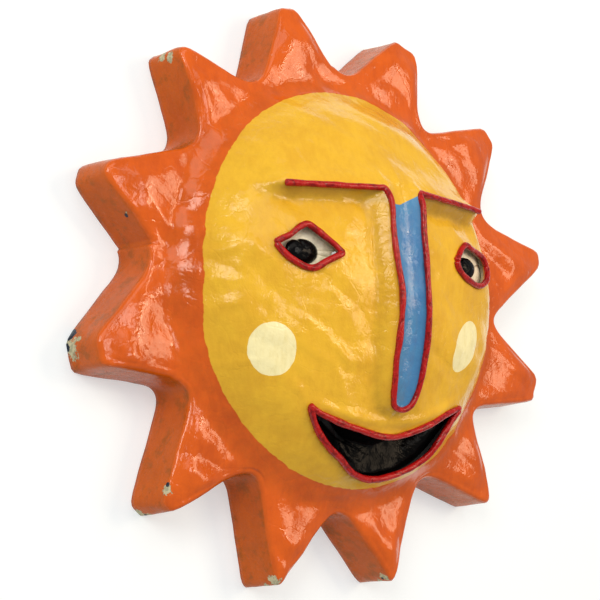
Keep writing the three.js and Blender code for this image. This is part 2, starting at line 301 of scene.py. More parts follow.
@dataclass(frozen=True)
class Outline:
    """Outline of the sun: straight flanks and blunt tips with rounded joins, as a reach from the centre in mm."""

    rays: tuple[Ray, ...] = (
        Ray(104, 286, 26, 89, 217), Ray(71, 291, 36, 58, 218), Ray(41.2, 304, 29, 26.9, 228),
        Ray(11.8, 319, 22, -3.6, 218), Ray(-16.8, 307, 32, -32, 213), Ray(-45.6, 296, 15, -61.2, 203),
        Ray(-78.7, 289, 9, -93.6, 206), Ray(-107.8, 289, 9, -124, 204), Ray(-135.7, 287, 18, -152.4, 205),
        Ray(-165.3, 281, 29, 175.8, 217), Ray(162.4, 281, 19, 144.2, 210), Ray(133, 283, 14, 119, 214),
    )
    tip_rounding: float = 9
    valley_rounding: float = 34
    valley_widening: float = 3
    ray_window: float = 40
    window_fall: float = 150

    def _cuts(self, index: int) -> list[tuple[Array, float]]:
        """Normals and distances of the left flank, the tip and the right flank of a ray.

        Args:
            index: number of the ray.

        Returns:
            A normal and its distance in mm from the centre, for each of the three cuts.
        """
        def polar(degrees: float, reach: float) -> Array:
            """Point of the plane at a direction and a reach."""
            turn = np.radians(degrees)
            return reach * np.array([np.cos(turn), np.sin(turn)])

        ray = self.rays[index]
        middle = polar(ray.at, ray.reach)
        half = polar(ray.at + 90, ray.tip / 2)
        before = self.rays[index - 1]
        corners = [polar(before.valley, before.dip), middle + half, middle - half, polar(ray.valley, ray.dip)]
        cuts = []
        for first, second in zip(corners, corners[1:]):
            along = (second - first) / np.linalg.norm(second - first)
            normal = np.array([along[1], -along[0]])
            distance = float(normal @ first)
            cuts.append((normal, distance) if distance >= 0 else (-normal, -distance))
        return cuts

    def reach(self, angle: Array, inset: Array | float) -> Array:
        """Reach of the outline in each direction, with every cut moved inwards.

        Each ray is the soft minimum of its three cuts, and the rays are joined by a soft maximum.

        Args:
            angle: directions in radians.
            inset: how far the cuts move in, in mm.

        Returns:
            The reach in mm.
        """
        angle, inset = np.broadcast_arrays(np.asarray(angle, float), np.asarray(inset, float))
        heading = np.stack([np.cos(angle), np.sin(angle)], axis=-1)
        rounding = self.valley_rounding + self.valley_widening * np.maximum(inset, 0.0)
        total = np.zeros_like(angle)
        for index, ray in enumerate(self.rays):
            off = np.abs((np.degrees(angle) - ray.at + 180.0) % 360.0 - 180.0)
            near = off < self.ray_window
            sides = [(distance - inset) / np.where(near, heading @ normal, 1.0)
                     for normal, distance in self._cuts(index)]
            inside = soft_min(soft_min(sides[0], sides[2], self.tip_rounding), sides[1], self.tip_rounding)
            inside = inside - self.window_fall * smooth_step(off, 0.65 * self.ray_window, self.ray_window)
            meet = np.maximum(rounding - np.abs(total - inside), 0.0)
            joined = np.maximum(total, inside) + meet * meet / (4.0 * rounding)
            total = np.where(near, np.where(total == 0.0, inside, joined), total)
        return total


@dataclass
class Face:
    """Front surface of the mask as a height above each point of its plane, in mm."""

    outline: Outline = field(default_factory=Outline)
    ring_height: float = 48
    ring_fall: float = 0.02
    ray_swell: float = 6
    swell_reach: float = 62
    swell_end: float = 46
    socket_depth: float = 3.6
    socket_below: float = 14
    socket_width: float = 10
    socket_ends: tuple[float, float] = (-138, -112)
    inner_reach: float = 190
    dome_top: float = 124
    dome_curve: float = 800
    foot_radius: float = 188
    foot_height: float = 60
    flank_slope: float = 1.2
    dome_rounding: float = 14
    foot_rounding: float = 16
    brow_line: float = 85
    brow_tilt: float = 0.033
    brow_bows: tuple[float, float] = (0.00016, 0.00027)
    brow_height: float = 130
    brow_falls: tuple[float, float] = (0.19, 0.162)
    brow_end: float = 119
    brow_tail: float = 34
    brow_slope: float = 1.05
    brow_back: float = 46
    brow_narrowing: float = 165
    notch_half: float = 19
    notch_back: float = 8
    notch_depth: float = 6
    nose_y: tuple[float, ...] = (-116, -112, -104, -90, -72, -50, -30, -10, 18, 46, 72, 87)
    nose_half: tuple[float, ...] = (5, 10.5, 14, 16.5, 18.2, 18.2, 17.5, 17.3, 19, 19.7, 20.5, 20.5)
    nose_top: tuple[float, ...] = (115.5, 117, 120, 124.5, 128.5, 133, 136, 137, 135, 132.5, 131.5, 130)
    nose_falls: tuple[float, float] = (1.6, 1.0)
    nose_bend: float = 2
    bend_middle: float = -18
    bend_width: float = 38
    nose_lean: float = 1.6
    lean_reach: tuple[float, float] = (5, 55)
    groove_depth: float = 6.5
    nose_side: float = 0.95
    eye_middles: tuple[tuple[float, float], ...] = ((-102, 23), (112, 27))
    eye_rise: float = 3.5
    eye_spread: tuple[float, float] = (44, 27)
    nose_join: float = 5
    brow_join: float = 4.5
    lip_line: float = -127
    lip_bow: float = 0.0023
    lip_width: float = 5
    lip_rise: float = 2.6
    lip_ends: tuple[float, float] = (-108, -70)
    broad: Lumps = Lumps(52, 11)
    small: Lumps = Lumps(17, 23)
    crumples: tuple[Lumps, Lumps] = (Lumps(56, 37, 0.4), Lumps(45, 41, 0.4))
    broad_depth: float = 0.6
    small_depth: float = 0.22
    crumple_depth: tuple[float, float] = (0.9, 0.4)
    coarse_facet: tuple[float, int] = (31, 83)
    coarse_depth: tuple[float, float] = (1.8, 0.7)
    fine_facet: tuple[float, int] = (16, 97)
    fine_depth: float = 0.55
    left_cheek: tuple[float, float] = (85, 140)
    upper_right: tuple[float, float] = (90, 190)
    sink: float = 0.9
    fold_lines: tuple[tuple[float, float, float, float, float, float], ...] = (
        (-98, 122, -95, 112, 1.1, 2.6), (-95, 112, -94, 100, 1.1, 2.6), (-84, 129, -66, 131, 1.0, 2.4),
        (-123, 85, -107, 97, 1.1, 3), (-153, 28, -147, 20, 2.0, 3.2), (-180, 14, -159, 24, 2.3, 4),
        (-133, -21, -133, -34, 1.2, 2.6), (-182, -10, -169, -3, 2.2, 3.5), (-180, -31, -155, -25, 2.2, 4),
        (-57, 93, -50, 100, 1.0, 2.5), (-32, 111, -26, 118, 1.0, 2.5), (-34, 73, -37, 13, 1.6, 3.2),
        (-82, -9, -72, -21, 1.1, 3), (-144, 71, -134, 74, -2.4, 6), (-99, -104, -112, -88, 1.6, 4),
        (-70, -60, -58, -78, 1.1, 3), (70, 62, 92, 66, 1.0, 3), (36, -30, 42, -62, 1.4, 3),
    )

    def base(self, x: Array, y: Array) -> Array:
        """Dome and ring: soft minimum of the cap and the flank, joined softly to the ring that swells along each ray.

        Args:
            x: places along x in mm.
            y: places along y in mm.

        Returns:
            Heights in mm.
        """
        radius = np.hypot(x, y)
        cap = self.dome_top - radius ** 2 / self.dome_curve
        flank = self.foot_height + (self.foot_radius - radius) * self.flank_slope
        to_edge = self.outline.reach(np.arctan2(y, x), 0.0) - radius
        along = smooth_step(radius, self.inner_reach, self.inner_reach + self.swell_reach)
        swell = self.ray_swell * along * smooth_step(to_edge, 0.0, self.swell_end)
        ring = self.ring_height - self.ring_fall * (radius - self.foot_radius) + swell
        return soft_max(soft_min(cap, flank, self.dome_rounding), ring, self.foot_rounding)

    def crest(self, x: Array) -> tuple[Array, Array]:
        """Crest of the brow: bows and falls away with the distance from the middle, and dips between the eyes.

        Args:
            x: places along x in mm.

        Returns:
            Place along y and height in mm.
        """
        notch = np.maximum(1.0 - (x / self.notch_half) ** 2, 0.0)
        notch = notch * notch * (3.0 - 2.0 * notch)
        fall = np.where(x < 0, *self.brow_falls)
        bow = np.where(x < 0, *self.brow_bows)
        y = self.brow_line + self.brow_tilt * x - bow * x * x + self.notch_back * notch
        return y, self.brow_height - fall * np.abs(x) - self.notch_depth * notch

    def brow(self, x: Array, y: Array, base: Array) -> Array:
        """Brow shelf: below the crest a steep underside, behind it the relief eases away over the forehead.

        Args:
            x: places along x in mm.
            y: places along y in mm.
            base: heights of the face there.

        Returns:
            Heights in mm.
        """
        crest_y, crest_z = self.crest(x)
        past = smooth_step(np.abs(x), self.brow_end, self.brow_end + self.brow_tail)
        relief = (crest_z - self.base(x, crest_y)) * (1.0 - past) - 2.0 * past
        length = self.brow_back * np.maximum(1.0 - (x / self.brow_narrowing) ** 2, 0.15)
        share = np.clip((y - crest_y) / length, 0.0, 1.0)
        behind = base + relief * (1.0 - smooth_step(share, 0.0, 1.0)) - 2.0 * share
        under = self.base(x, crest_y) + relief - (crest_y - y) * self.brow_slope
        return np.where(y >= crest_y, behind, under)

    def nose_section(self, y: Array) -> tuple[Array, Array]:
        """Half width and ridge height of the nose, read between set places and falling away past both ends.

        Args:
            y: places along y in mm.

        Returns:
            Half widths and heights in mm.
        """
        half = np.interp(y, self.nose_y, self.nose_half)
        top = np.interp(y, self.nose_y, self.nose_top)
        below = np.maximum(self.nose_y[0] - y, 0.0)
        above = np.maximum(y - self.nose_y[-1] - 2.0, 0.0)
        return half, top - self.nose_falls[0] * below - self.nose_falls[1] * above

    def bend(self, y: Array) -> Array:
        """Sideways bow of the nose at places along y: a bell curve about its middle, and a lean of the lower half."""
        lean = self.nose_lean * smooth_step(-y, *self.lean_reach)
        return self.nose_bend * np.exp(-(((y - self.bend_middle) / self.bend_width) ** 2)) + lean

    def nose(self, x: Array, y: Array) -> Array:
        """Nose: two ridges with a groove between them, and sides that slope down to the cheeks.

        Args:
            x: places along x in mm.
            y: places along y in mm.

        Returns:
            Heights in mm.
        """
        half, top = self.nose_section(y)
        off = np.abs(x - self.bend(y))
        share = np.clip(off / half, 0.0, 1.0)
        groove = self.groove_depth * np.minimum(half / 14.0, 1.0) * (1.0 - share ** 2.4)
        side = np.maximum(off - half, 0.0) / self.nose_side
        return top - groove - side

    def plain(self, x: Array, y: Array) -> Array:
        """Face with brow and nose, without dents: the base rises as a bell round each eye and sinks under the brow.

        Args:
            x: places along x in mm.
            y: places along y in mm.

        Returns:
            Heights in mm.
        """
        base = self.base(x, y)
        wide, high = self.eye_spread
        for middle in self.eye_middles:
            far = (np.abs(x - middle[0]) / wide) ** 2.6 + (np.abs(y - middle[1]) / high) ** 2.6
            base = base + self.eye_rise * np.exp(-far)
        low = np.exp(-(((y - self.crest(x)[0] + self.socket_below) / self.socket_width) ** 2))
        base = base - self.socket_depth * low * smooth_step(-np.abs(x), *self.socket_ends)
        lifted = soft_max(base, self.nose(x, y), self.nose_join)
        return soft_max(lifted, self.brow(x, y, base), self.brow_join)

    def slopes(self, x: Array, y: Array, step: float) -> tuple[Array, Array]:
        """Slopes of the plain face: the rise between two places a step to each side.

        Args:
            x: places along x in mm.
            y: places along y in mm.
            step: the step in mm.

        Returns:
            Slopes along x and along y.
        """
        across = (self.plain(x + step, y) - self.plain(x - step, y)) / (2 * step)
        along = (self.plain(x, y + step) - self.plain(x, y - step)) / (2 * step)
        return across, along

    def lip(self, x: Array, y: Array) -> Array:
        """Flare of the skin above the upper lip: a bell across a bowed line, fading past the mouth's corners.

        Args:
            x: places along x in mm.
            y: places along y in mm.

        Returns:
            Heights in mm.
        """
        ridge_y = self.lip_line + self.lip_bow * x * x
        ridge = np.exp(-(((y - ridge_y) / self.lip_width) ** 2)) * smooth_step(-np.abs(x - 2.0), *self.lip_ends)
        return self.lip_rise * ridge

    def height(self, x: Array, y: Array) -> Array:
        """Finished front: the face with the lip's flare and the dents, facets and folds of the paper.

        The facets are deeper on the ring and the left cheek, shallower on the upper right and the nose, and fade
        towards the outline.

        Args:
            x: places along x in mm.
            y: places along y in mm.

        Returns:
            Heights in mm.
        """
        radius = np.hypot(x, y)
        inland = smooth_step(self.outline.reach(np.arctan2(y, x), 0.0) - radius, 2.0, 30.0)
        on_ring = smooth_step(radius, 180.0, 198.0)
        on_nose = smooth_step(-np.abs(x), -36.0, -22.0) * smooth_step(-np.abs(y + 14.0), -118.0, -104.0)
        up, down = (np.abs(lumps.at(x, y)) for lumps in self.crumples)
        crumple_depth, coarse_depth = (low + more * on_ring for low, more in (self.crumple_depth, self.coarse_depth))
        crumple = crumple_depth * (up - down) + coarse_depth * facets(x, y, *self.coarse_facet)
        crumple = crumple + self.fine_depth * facets(x, y, *self.fine_facet)
        rough = 0.5 * smooth_step(-x, *self.left_cheek) - 0.6 * smooth_step(0.8 * x + y, *self.upper_right)
        dents = self.broad_depth * self.broad.at(x, y) + self.small_depth * self.small.at(x, y)
        dents = dents + crumple * (1.0 + (1.0 - on_ring) * rough)
        dents = (dents + self.folds(x, y)) * (1.0 - 0.6 * on_nose)
        return self.plain(x, y) + self.lip(x, y) + dents * (0.35 + 0.65 * inland) - self.sink

    def folds(self, x: Array, y: Array) -> Array:
        """Single folds of the pasted paper: each a bell-shaped ridge along a short line, thinning out at both ends.

        Args:
            x: places along x in mm.
            y: places along y in mm.

        Returns:
            Heights in mm.
        """
        total = np.zeros_like(np.asarray(x, float))
        for x0, y0, x1, y1, rise, width in self.fold_lines:
            along = np.array([x1 - x0, y1 - y0])
            share = np.clip(((x - x0) * along[0] + (y - y0) * along[1]) / float(along @ along), 0.0, 1.0)
            far = np.hypot(x - x0 - share * along[0], y - y0 - share * along[1])
            total = total + rise * np.exp(-((far / width) ** 2)) * (0.4 + 0.6 * np.sin(np.pi * share))
        return total


@dataclass
class Opening:
    """Opening in the face between an upper and a lower line of cord, given from corner to corner in mm."""

    upper: tuple[tuple[float, float], ...]
    lower: tuple[tuple[float, float], ...]

    def loop(self, count: int = 240) -> Array:
        """Closed contour through both lines.

        Args:
            count: number of points wanted.

        Returns:
            Evenly spaced points of the plane, anticlockwise.
        """
        both = [spline(np.array(line, float), count) for line in (self.upper, self.lower)]
        ring = np.concatenate([both[0], both[1][::-1]])
        ring = even_steps(ring, count, closed=True)
        area = np.sum(ring[:, 0] * np.roll(ring[:, 1], -1) - ring[:, 1] * np.roll(ring[:, 0], -1))
        return ring if area > 0 else ring[::-1]


def spline(knots: Array, count: int) -> Array:
    """Curve through points at even steps: straight lines between knots are blended twice, over spans of the parameter.

    The parameter grows from knot to knot by the root of their distance, so the curve has no loops.

    Args:
        knots: points to pass through, one row each.
        count: number of points wanted.

    Returns:
        Points along the curve.
    """
    ends = np.concatenate([[2 * knots[0] - knots[1]], knots, [2 * knots[-1] - knots[-2]]])
    times = np.concatenate([[0.0], np.cumsum(np.linalg.norm(np.diff(ends, axis=0), axis=1) ** 0.5)])
    fine = np.linspace(times[1], times[-2], count * 6)
    piece = np.clip(np.searchsorted(times, fine, side="right") - 1, 1, len(ends) - 3)
    at = [times[piece + step][:, None] for step in (-1, 0, 1, 2)]
    knot = [ends[piece + step] for step in (-1, 0, 1, 2)]
    now = fine[:, None]

    def blend(a: Array, b: Array, start: Array, end: Array) -> Array:
        """Straight blend of two points over a span of the parameter."""
        return a * (end - now) / (end - start) + b * (now - start) / (end - start)

    first = [blend(knot[i], knot[i + 1], at[i], at[i + 1]) for i in range(3)]
    second = [blend(first[i], first[i + 1], at[i], at[i + 2]) for i in range(2)]
    return even_steps(blend(second[0], second[1], at[1], at[2]), count)


def even_steps(line: Array, count: int, closed: bool = False) -> Array:
    """Points at even steps along a line of points, read between them by length.

    Args:
        line: points, one row each.
        count: number of points wanted.
        closed: whether the line comes back to its start.

    Returns:
        The new points.
    """
    whole = np.concatenate([line, line[:1]]) if closed else line
    lengths = np.concatenate([[0.0], np.cumsum(np.linalg.norm(np.diff(whole, axis=0), axis=1))])
    wanted = np.linspace(0.0, lengths[-1], count + (1 if closed else 0))[: count]
    return np.stack([np.interp(wanted, lengths, whole[:, axis]) for axis in range(line.shape[1])], axis=-1)


def inside_loop(points: Array, loop: Array) -> Array:
    """Whether points lie inside a closed loop: those with an odd number of its edges to their right do.

    Args:
        points: points of the plane, one row each.
        loop: points of the loop.

    Returns:
        A truth value for each point.
    """
    ahead = np.roll(loop, -1, axis=0)
    x, y = points[:, :1], points[:, 1:]
    spans = (loop[:, 1] > y) != (ahead[:, 1] > y)
    rise = np.where(ahead[:, 1] == loop[:, 1], 1.0, ahead[:, 1] - loop[:, 1])
    cross = loop[:, 0] + (y - loop[:, 1]) * (ahead[:, 0] - loop[:, 0]) / rise
    return (np.sum(spans & (x < cross), axis=1) % 2) == 1


def nearest_on_loop(points: Array, loop: Array) -> Array:
    """Nearest places on a closed loop: each point is dropped square onto every edge and the nearest foot is kept.

    Args:
        points: points of the plane, one row each.
        loop: points of the loop.

    Returns:
        A place on the loop for each point.
    """
    edge = np.roll(loop, -1, axis=0) - loop
    off = points[:, None, :] - loop[None]
    share = np.clip(np.sum(off * edge, axis=2) / np.sum(edge * edge, axis=1), 0.0, 1.0)
    spots = loop[None] + share[:, :, None] * edge[None]
    best = np.argmin(np.sum((points[:, None, :] - spots) ** 2, axis=2), axis=1)
    return spots[np.arange(len(points)), best]


EYES = {
    Side.LEFT: Opening(
        upper=((-133, 25), (-127, 28.5), (-119, 33), (-111, 39.5), (-103.5, 43), (-96, 40), (-88, 35), (-79, 28),
               (-69, 19)),
        lower=((-132, 25.5), (-129, 20.5), (-124, 15), (-115.5, 9.5), (-105, 5.3), (-96, 6), (-87, 11.5), (-78, 16),
               (-69, 21)),
    ),
    Side.RIGHT: Opening(
        upper=((81, 28.5), (88, 36.5), (95, 44), (102, 48), (109, 46.5), (119, 45), (131, 43), (141, 40), (147.5, 33)),
        lower=((81, 29.5), (83.5, 23.5), (89, 18.5), (98, 14.5), (108, 11.5), (119, 9.5), (129, 10.5), (139, 16),
               (145.5, 24), (148, 34)),
    ),
}
MOUTH = Opening(
    upper=((-92, -111.5), (-79, -119), (-57, -127), (-33, -133.5), (-9, -138.5), (4, -139.5), (17, -138),
           (43, -131), (71, -121), (88, -115.5), (105, -111)),
    lower=((-90, -112.5), (-84, -124), (-74, -136.5), (-59, -149), (-44, -158), (-30, -168), (-15, -174.5), (1, -177.5),
           (16, -177), (30, -174.5), (44, -171), (57, -166), (67.5, -159.5), (75.5, -150.5), (83.5, -138.5),
           (93.5, -124.5), (103, -112.5)),
)
DOME_CENTRE = (-19.7, 1.8, 0.0)


def srgb(code: str) -> tuple[float, float, float, float]:
    """Linear colour of an sRGB hex value: the darkest part is a straight line, the rest a power of 2.4.

    Args:
        code: six hex digits after a hash.

    Returns:
        Red, green, blue and an alpha of 1.
    """
    parts = [int(code[i:i + 2], 16) / 255.0 for i in (1, 3, 5)]
    linear = [p / 12.92 if p <= 0.04045 else ((p + 0.055) / 1.055) ** 2.4 for p in parts]
    return (linear[0], linear[1], linear[2], 1.0)


class NodeDesk:
    """Node tree of one material, with one function that adds a node."""

    def __init__(self, name: str) -> None:
        """Starts an empty material with a principled surface.

        Args:
            name: name of the material.
        """
        self.material = bpy.data.materials.new(name)
        self.material.use_nodes = True
        self.tree = self.material.node_tree
        self.tree.nodes.clear()
        output = self.tree.nodes.new("ShaderNodeOutputMaterial")
        self.surface = self.tree.nodes.new("ShaderNodeBsdfPrincipled")
        self.tree.links.new(self.surface.outputs[0], output.inputs[0])

    def feed(self, node: bpy.types.Node, inputs: Inputs) -> bpy.types.Material:
        """Sets or links inputs of a node.

        Args:
            node: the node.
            inputs: a value or an output socket for each input, in order or by name or number.

        Returns:
            The material.
        """
        for key, value in inputs.items() if isinstance(inputs, dict) else enumerate(inputs):
            if isinstance(value, bpy.types.NodeSocket):
                self.tree.links.new(value, node.inputs[key])
            else:
                node.inputs[key].default_value = value
        return self.material

    def add(self, kind: str, inputs: Inputs = (), output: str | int = 0, **settings: Any) -> Any:
        """Adds a node.

        Args:
            kind: node type without its ShaderNode prefix.
            inputs: a value or an output socket for each input, in order or by name or number.
            output: name or number of the output that is wanted.
            settings: properties of the node.

        Returns:
            The output socket.
        """
        node = self.tree.nodes.new("ShaderNode" + kind)
        for name, value in settings.items():
            setattr(node, name, value)
        self.feed(node, inputs)
        return node.outputs[output]


@dataclass(frozen=True)
class PaintedPaper:
    """Household enamel brushed over papier-mache.

    To the eye it is glossy but broken up: pasted paper leaves folds, torn edges and lumps under the paint, the brush
    leaves streaks of a deeper tone, the side walls are browner and the hollows darker with dirt and painted shade, the
    underside of the brow is darker with painted shade, and chips at the tips show the pulp. A pair of colours is a coat
    and its deeper tone.
    """

    orange: tuple[str, str] = ("#de6212", "#c9550e")
    yellow: tuple[str, str] = ("#ebbb33", "#dfac2e")
    blue: tuple[str, str] = ("#5294c6", "#4a84be")
    cream: tuple[str, str] = ("#fbf3bd", "#e4d488")
    bare: tuple[str, str] = ("#c6bd9a", "#a3a184")
    pulp: tuple[str, str] = ("#9a8a6c", "#b7a888")
    # Browner colour for the side walls: partly dirt, partly painted shade.
    wall_dirt_and_shade: str = "#914f13"
    # Darker colour for the hollows: partly dirt, partly painted shade.
    hollow_dirt_and_shade: str = "#8a5f1a"
    # Ochre for the underside of the brow: painted shade.
    brow_painted_shade: str = "#a2862a"
    ink: str = "#27303d"
    throat: str = "#08080a"
    roughness: float = 0.09
    ior: float = 1.5
    usual_gloss: float = 0.35
    # Size of the features in mm, detail, roughness and distortion of each noise. The grain of the pulp is under 1 mm,
    # too fine to show, so lumps of 8 mm stand for it.
    grains: ClassVar[dict[str, tuple[float, float, float, float]]] = {
        "edge": (9.0, 2.0, 0.55, 0.0), "fine_edge": (2.2, 2.0, 0.55, 0.0), "patch": (38.0, 4.0, 0.6, 0.0),
        "thin": (16.0, 5.0, 0.68, 0.0), "hollow_darkening": (7.0, 4.0, 0.65, 0.0), "chip": (5.5, 4.0, 0.7, 0.0),
        "bare": (3.0, 3.0, 0.55, 0.0), "pulp": (12.0, 5.0, 0.7, 0.0), "sheen": (6.0, 3.0, 0.55, 0.0),
        "fold": (26.0, 1.5, 0.5, 0.8), "lump": (8.0, 4.0, 0.6, 0.0),
    }
    # How far the hand-painted edge of each zone waves, in mm.
    waves: ClassVar[dict[str, float]] = {"disc": 2.4, "strip": 0.8, "dot": 1.4}
    # Middles and radii in mm of the spots where the paint is worn away or stained.
    worn: tuple[tuple[float, float, float, float], ...] = (
        (-195, 201, 20, 5), (-193, 197, 31, 5), (-199, 196, 8, 4), (-275, -62, 6, 9), (-274, -70, 10, 7),
        (-273, -56, 16, 4), (-202, -181, 44, 5), (-200, -202, 2, 7), (-196, -202, 12, 5), (-191, -201, 22, 3),
        (-89, -264, 42, 6), (-85, -268, 30, 4), (48, -273, 40, 5), (54, -276, 30, 4), (-239, 49, 38, 1.2),
        (-254, 68, 44, 1.3),
    )
    stained: tuple[tuple[float, float, float, float], ...] = (
        (-272, -51, 3, 7), (-274, -64, 1, 4), (-274, -72, 12, 2.5), (-196, 203, 26, 1.5), (-202, -177, 44, 2.5),
        (-200, -204, 8, 2), (50, -274, 37, 2), (-238, 47, 36, 2.2), (-88, -262, 38, 1.6),
    )

    def spots(self, desk: NodeDesk, at: Any, wander: Any, spots: Sequence[Sequence[float]], ragged: float) -> Any:
        """Spots with ragged edges: one less the distance to the nearest spot's middle as a share of its radius.

        Args:
            desk: node tree.
            at: coordinates.
            wander: noise about 0 that makes the edges ragged.
            spots: middle and radius of each spot in mm.
            ragged: how far the edges wander, as a share of the radius.

        Returns:
            Where the spots are, from 0 to 1.
        """
        total: Any = -9.0
        for *middle, radius in spots:
            spot = tuple((value + shift) * MM for value, shift in zip(middle, DOME_CENTRE))
            far = desk.add("VectorMath", (at, spot), "Value", operation="DISTANCE")
            near = desk.add("Math", (far, -1.0 / (radius * MM), 1.0), operation="MULTIPLY_ADD")
            total = desk.add("Math", (total, near), operation="MAXIMUM")
        edged = desk.add("Math", (wander, ragged, total), operation="MULTIPLY_ADD")
        return desk.add("MapRange", (edged, 0.0, 0.12), interpolation_type="SMOOTHSTEP")

    def make(self) -> bpy.types.Material:
        """Coats of paint laid over each other by shares, a gloss that dulls on walls and chips, and the relief.

        Returns:
            The material.
        """
        desk = NodeDesk("enamel_on_papier_mache")
        at = desk.add("TexCoord", output="Object")
        upright = desk.add("SeparateXYZ", (desk.add("TexCoord", output="Normal"),), 2)
        # The hollow field carries dirt and painted shade, the under field the painted shade below the brow.
        held = {name: desk.add("Attribute", output="Fac", attribute_name=name)
                for name in ("disc", "strip", "dot", "hollow", "under", "inner", "throat")}
        grain = {name: desk.add("TexNoise", {"Vector": at, "Scale": 1.0 / (size * MM), "Detail": detail,
                                             "Roughness": rough, "Distortion": bent})
                 for name, (size, detail, rough, bent) in self.grains.items()}
        # Brush streaks are 5 mm across and run along y.
        drawn = desk.add("Mapping", {"Vector": at, "Scale": (1.0, 0.28, 1.0)})
        streak = desk.add("TexNoise", {"Vector": drawn, "Scale": 1.0 / (5.0 * MM), "Detail": 4.0, "Roughness": 0.6})
        # Pasted sheets of about 34 mm, with bent edges.
        sway = desk.add("TexNoise", {"Vector": at, "Scale": 1.0 / (22.0 * MM)}, 1)
        bent = desk.add("VectorMath", (sway, (0.03, 0.03, 0.03), at), operation="MULTIPLY_ADD")
        sheet = desk.add("TexVoronoi", {"Vector": bent, "Scale": 1.0 / (34.0 * MM), "Detail": 1.0},
                         feature="DISTANCE_TO_EDGE")

        wave, ripple, wander = (desk.add("Math", (grain[name], 0.5), operation="SUBTRACT")
                                for name in ("edge", "fine_edge", "chip"))
        patch = desk.add("Math", (grain["patch"], 0.65), operation="MULTIPLY")
        spans: dict[str, tuple[Any, ...]] = {
            "wall": (upright, 0.25, 0.6, 1.0, 0.0),
            "deep": (desk.add("Math", (streak, 0.35, patch), operation="MULTIPLY_ADD"), 0.36, 0.68),
            "thin": (grain["thin"], 0.5, 0.66),
            "brushed": (streak, 0.4, 0.7, 0.0, 0.35),
            "hollow_patches": (grain["hollow_darkening"], 0.3, 0.62),
            "bare": (grain["bare"], 0.45, 0.6),
            "pulp": (grain["pulp"], 0.35, 0.65),
            "inner": (desk.add("Math", (wave, 0.3, held["inner"]), operation="MULTIPLY_ADD"), 0.45, 0.55),
            "throat": (held["throat"], 0.8, 0.95),
            "rough": (grain["sheen"], 0.3, 0.75, self.roughness - 0.03, self.roughness + 0.1),
            "face": (held["disc"], -1.0, 1.0, 0.0, 0.03),
            "lumps": (held["disc"], -1.0, 1.0, 0.42 * MM, 0.6 * MM),
            "torn": (sheet, 0.0, 0.05),
        }
        for name, reach in self.waves.items():
            waved = desk.add("Math", (wave, reach, held[name]), operation="MULTIPLY_ADD")
            spans[name] = (desk.add("Math", (ripple, 0.3, waved), operation="MULTIPLY_ADD"), -0.25, 0.25)
        share = {name: desk.add("MapRange", span, interpolation_type="SMOOTHSTEP") for name, span in spans.items()}

        thin = desk.add("Math", (share["thin"], 0.4, 0.35), operation="MULTIPLY_ADD")
        # Where the hollows are darkened, partly as dirt and partly as painted shade.
        hollow_darkening = desk.add("Math", (held["hollow"], share["hollow_patches"]), operation="MULTIPLY")
        chip = self.spots(desk, at, wander, self.worn, 2.8)
        colour = desk.add("Mix", {0: share["deep"], 6: srgb(self.orange[0]), 7: srgb(self.orange[1])}, 2,
                          data_type="RGBA")
        for where, tone, coat in (
                # Side walls browner, partly as dirt and partly as painted shade.
                (desk.add("Math", (thin, share["wall"]), operation="MULTIPLY"), 0.0, (self.wall_dirt_and_shade,) * 2),
                (share["disc"], share["deep"], self.yellow),
                (share["strip"], share["deep"], self.blue),
                (share["dot"], share["brushed"], self.cream),
                # Hollows darkened, partly as dirt and partly as painted shade.
                (desk.add("Math", (hollow_darkening, 0.24), operation="MULTIPLY"), 0.0, (self.hollow_dirt_and_shade,) * 2),
                # Ochre painted shade on the underside of the brow.
                (desk.add("Math", (held["under"], 0.42), operation="MULTIPLY"), 0.0, (self.brow_painted_shade,) * 2),
                (chip, share["bare"], self.bare),
                (self.spots(desk, at, wander, self.stained, 1.2), 0.0, (self.ink,) * 2),
                (share["inner"], share["pulp"], self.pulp),
                (share["throat"], 0.0, (self.throat,) * 2)):
            paint = desk.add("Mix", {0: tone, 6: srgb(coat[0]), 7: srgb(coat[1])}, 2, data_type="RGBA")
            colour = desk.add("Mix", {0: where, 6: colour, 7: paint}, 2, data_type="RGBA")

        worn = desk.add("Math", (chip, share["inner"]), operation="MAXIMUM")
        dull = desk.add("Math", (worn, 0.6, share["face"]), operation="MULTIPLY_ADD")
        dull = desk.add("Math", (share["wall"], 0.14, dull), operation="MULTIPLY_ADD")
        gloss = desk.add("MapRange", (share["wall"], 0.0, 1.0, 0.48, 0.13), interpolation_type="SMOOTHSTEP")
        relief: Any = 0.0
        for source, height in ((grain["fold"], 0.8 * MM), (grain["lump"], share["lumps"]), (share["torn"], 0.1 * MM),
                               (chip, -0.3 * MM)):
            relief = desk.add("Math", (source, height, relief), operation="MULTIPLY_ADD")
        # The export drops a linked specular level, so its usual value stands under the link.
        desk.feed(desk.surface, {"Specular IOR Level": self.usual_gloss})
        return desk.feed(desk.surface, {
            "Base Color": colour, "IOR": self.ior,
            "Roughness": desk.add("Math", (share["rough"], dull), operation="ADD", use_clamp=True),
            "Specular IOR Level": desk.add("Math", (share["face"], -4.5, gloss), operation="MULTIPLY_ADD",
                                           use_clamp=True),
            "Normal": desk.add("Bump", {"Height": relief, "Strength": 1.0, "Distance": 1.0})})


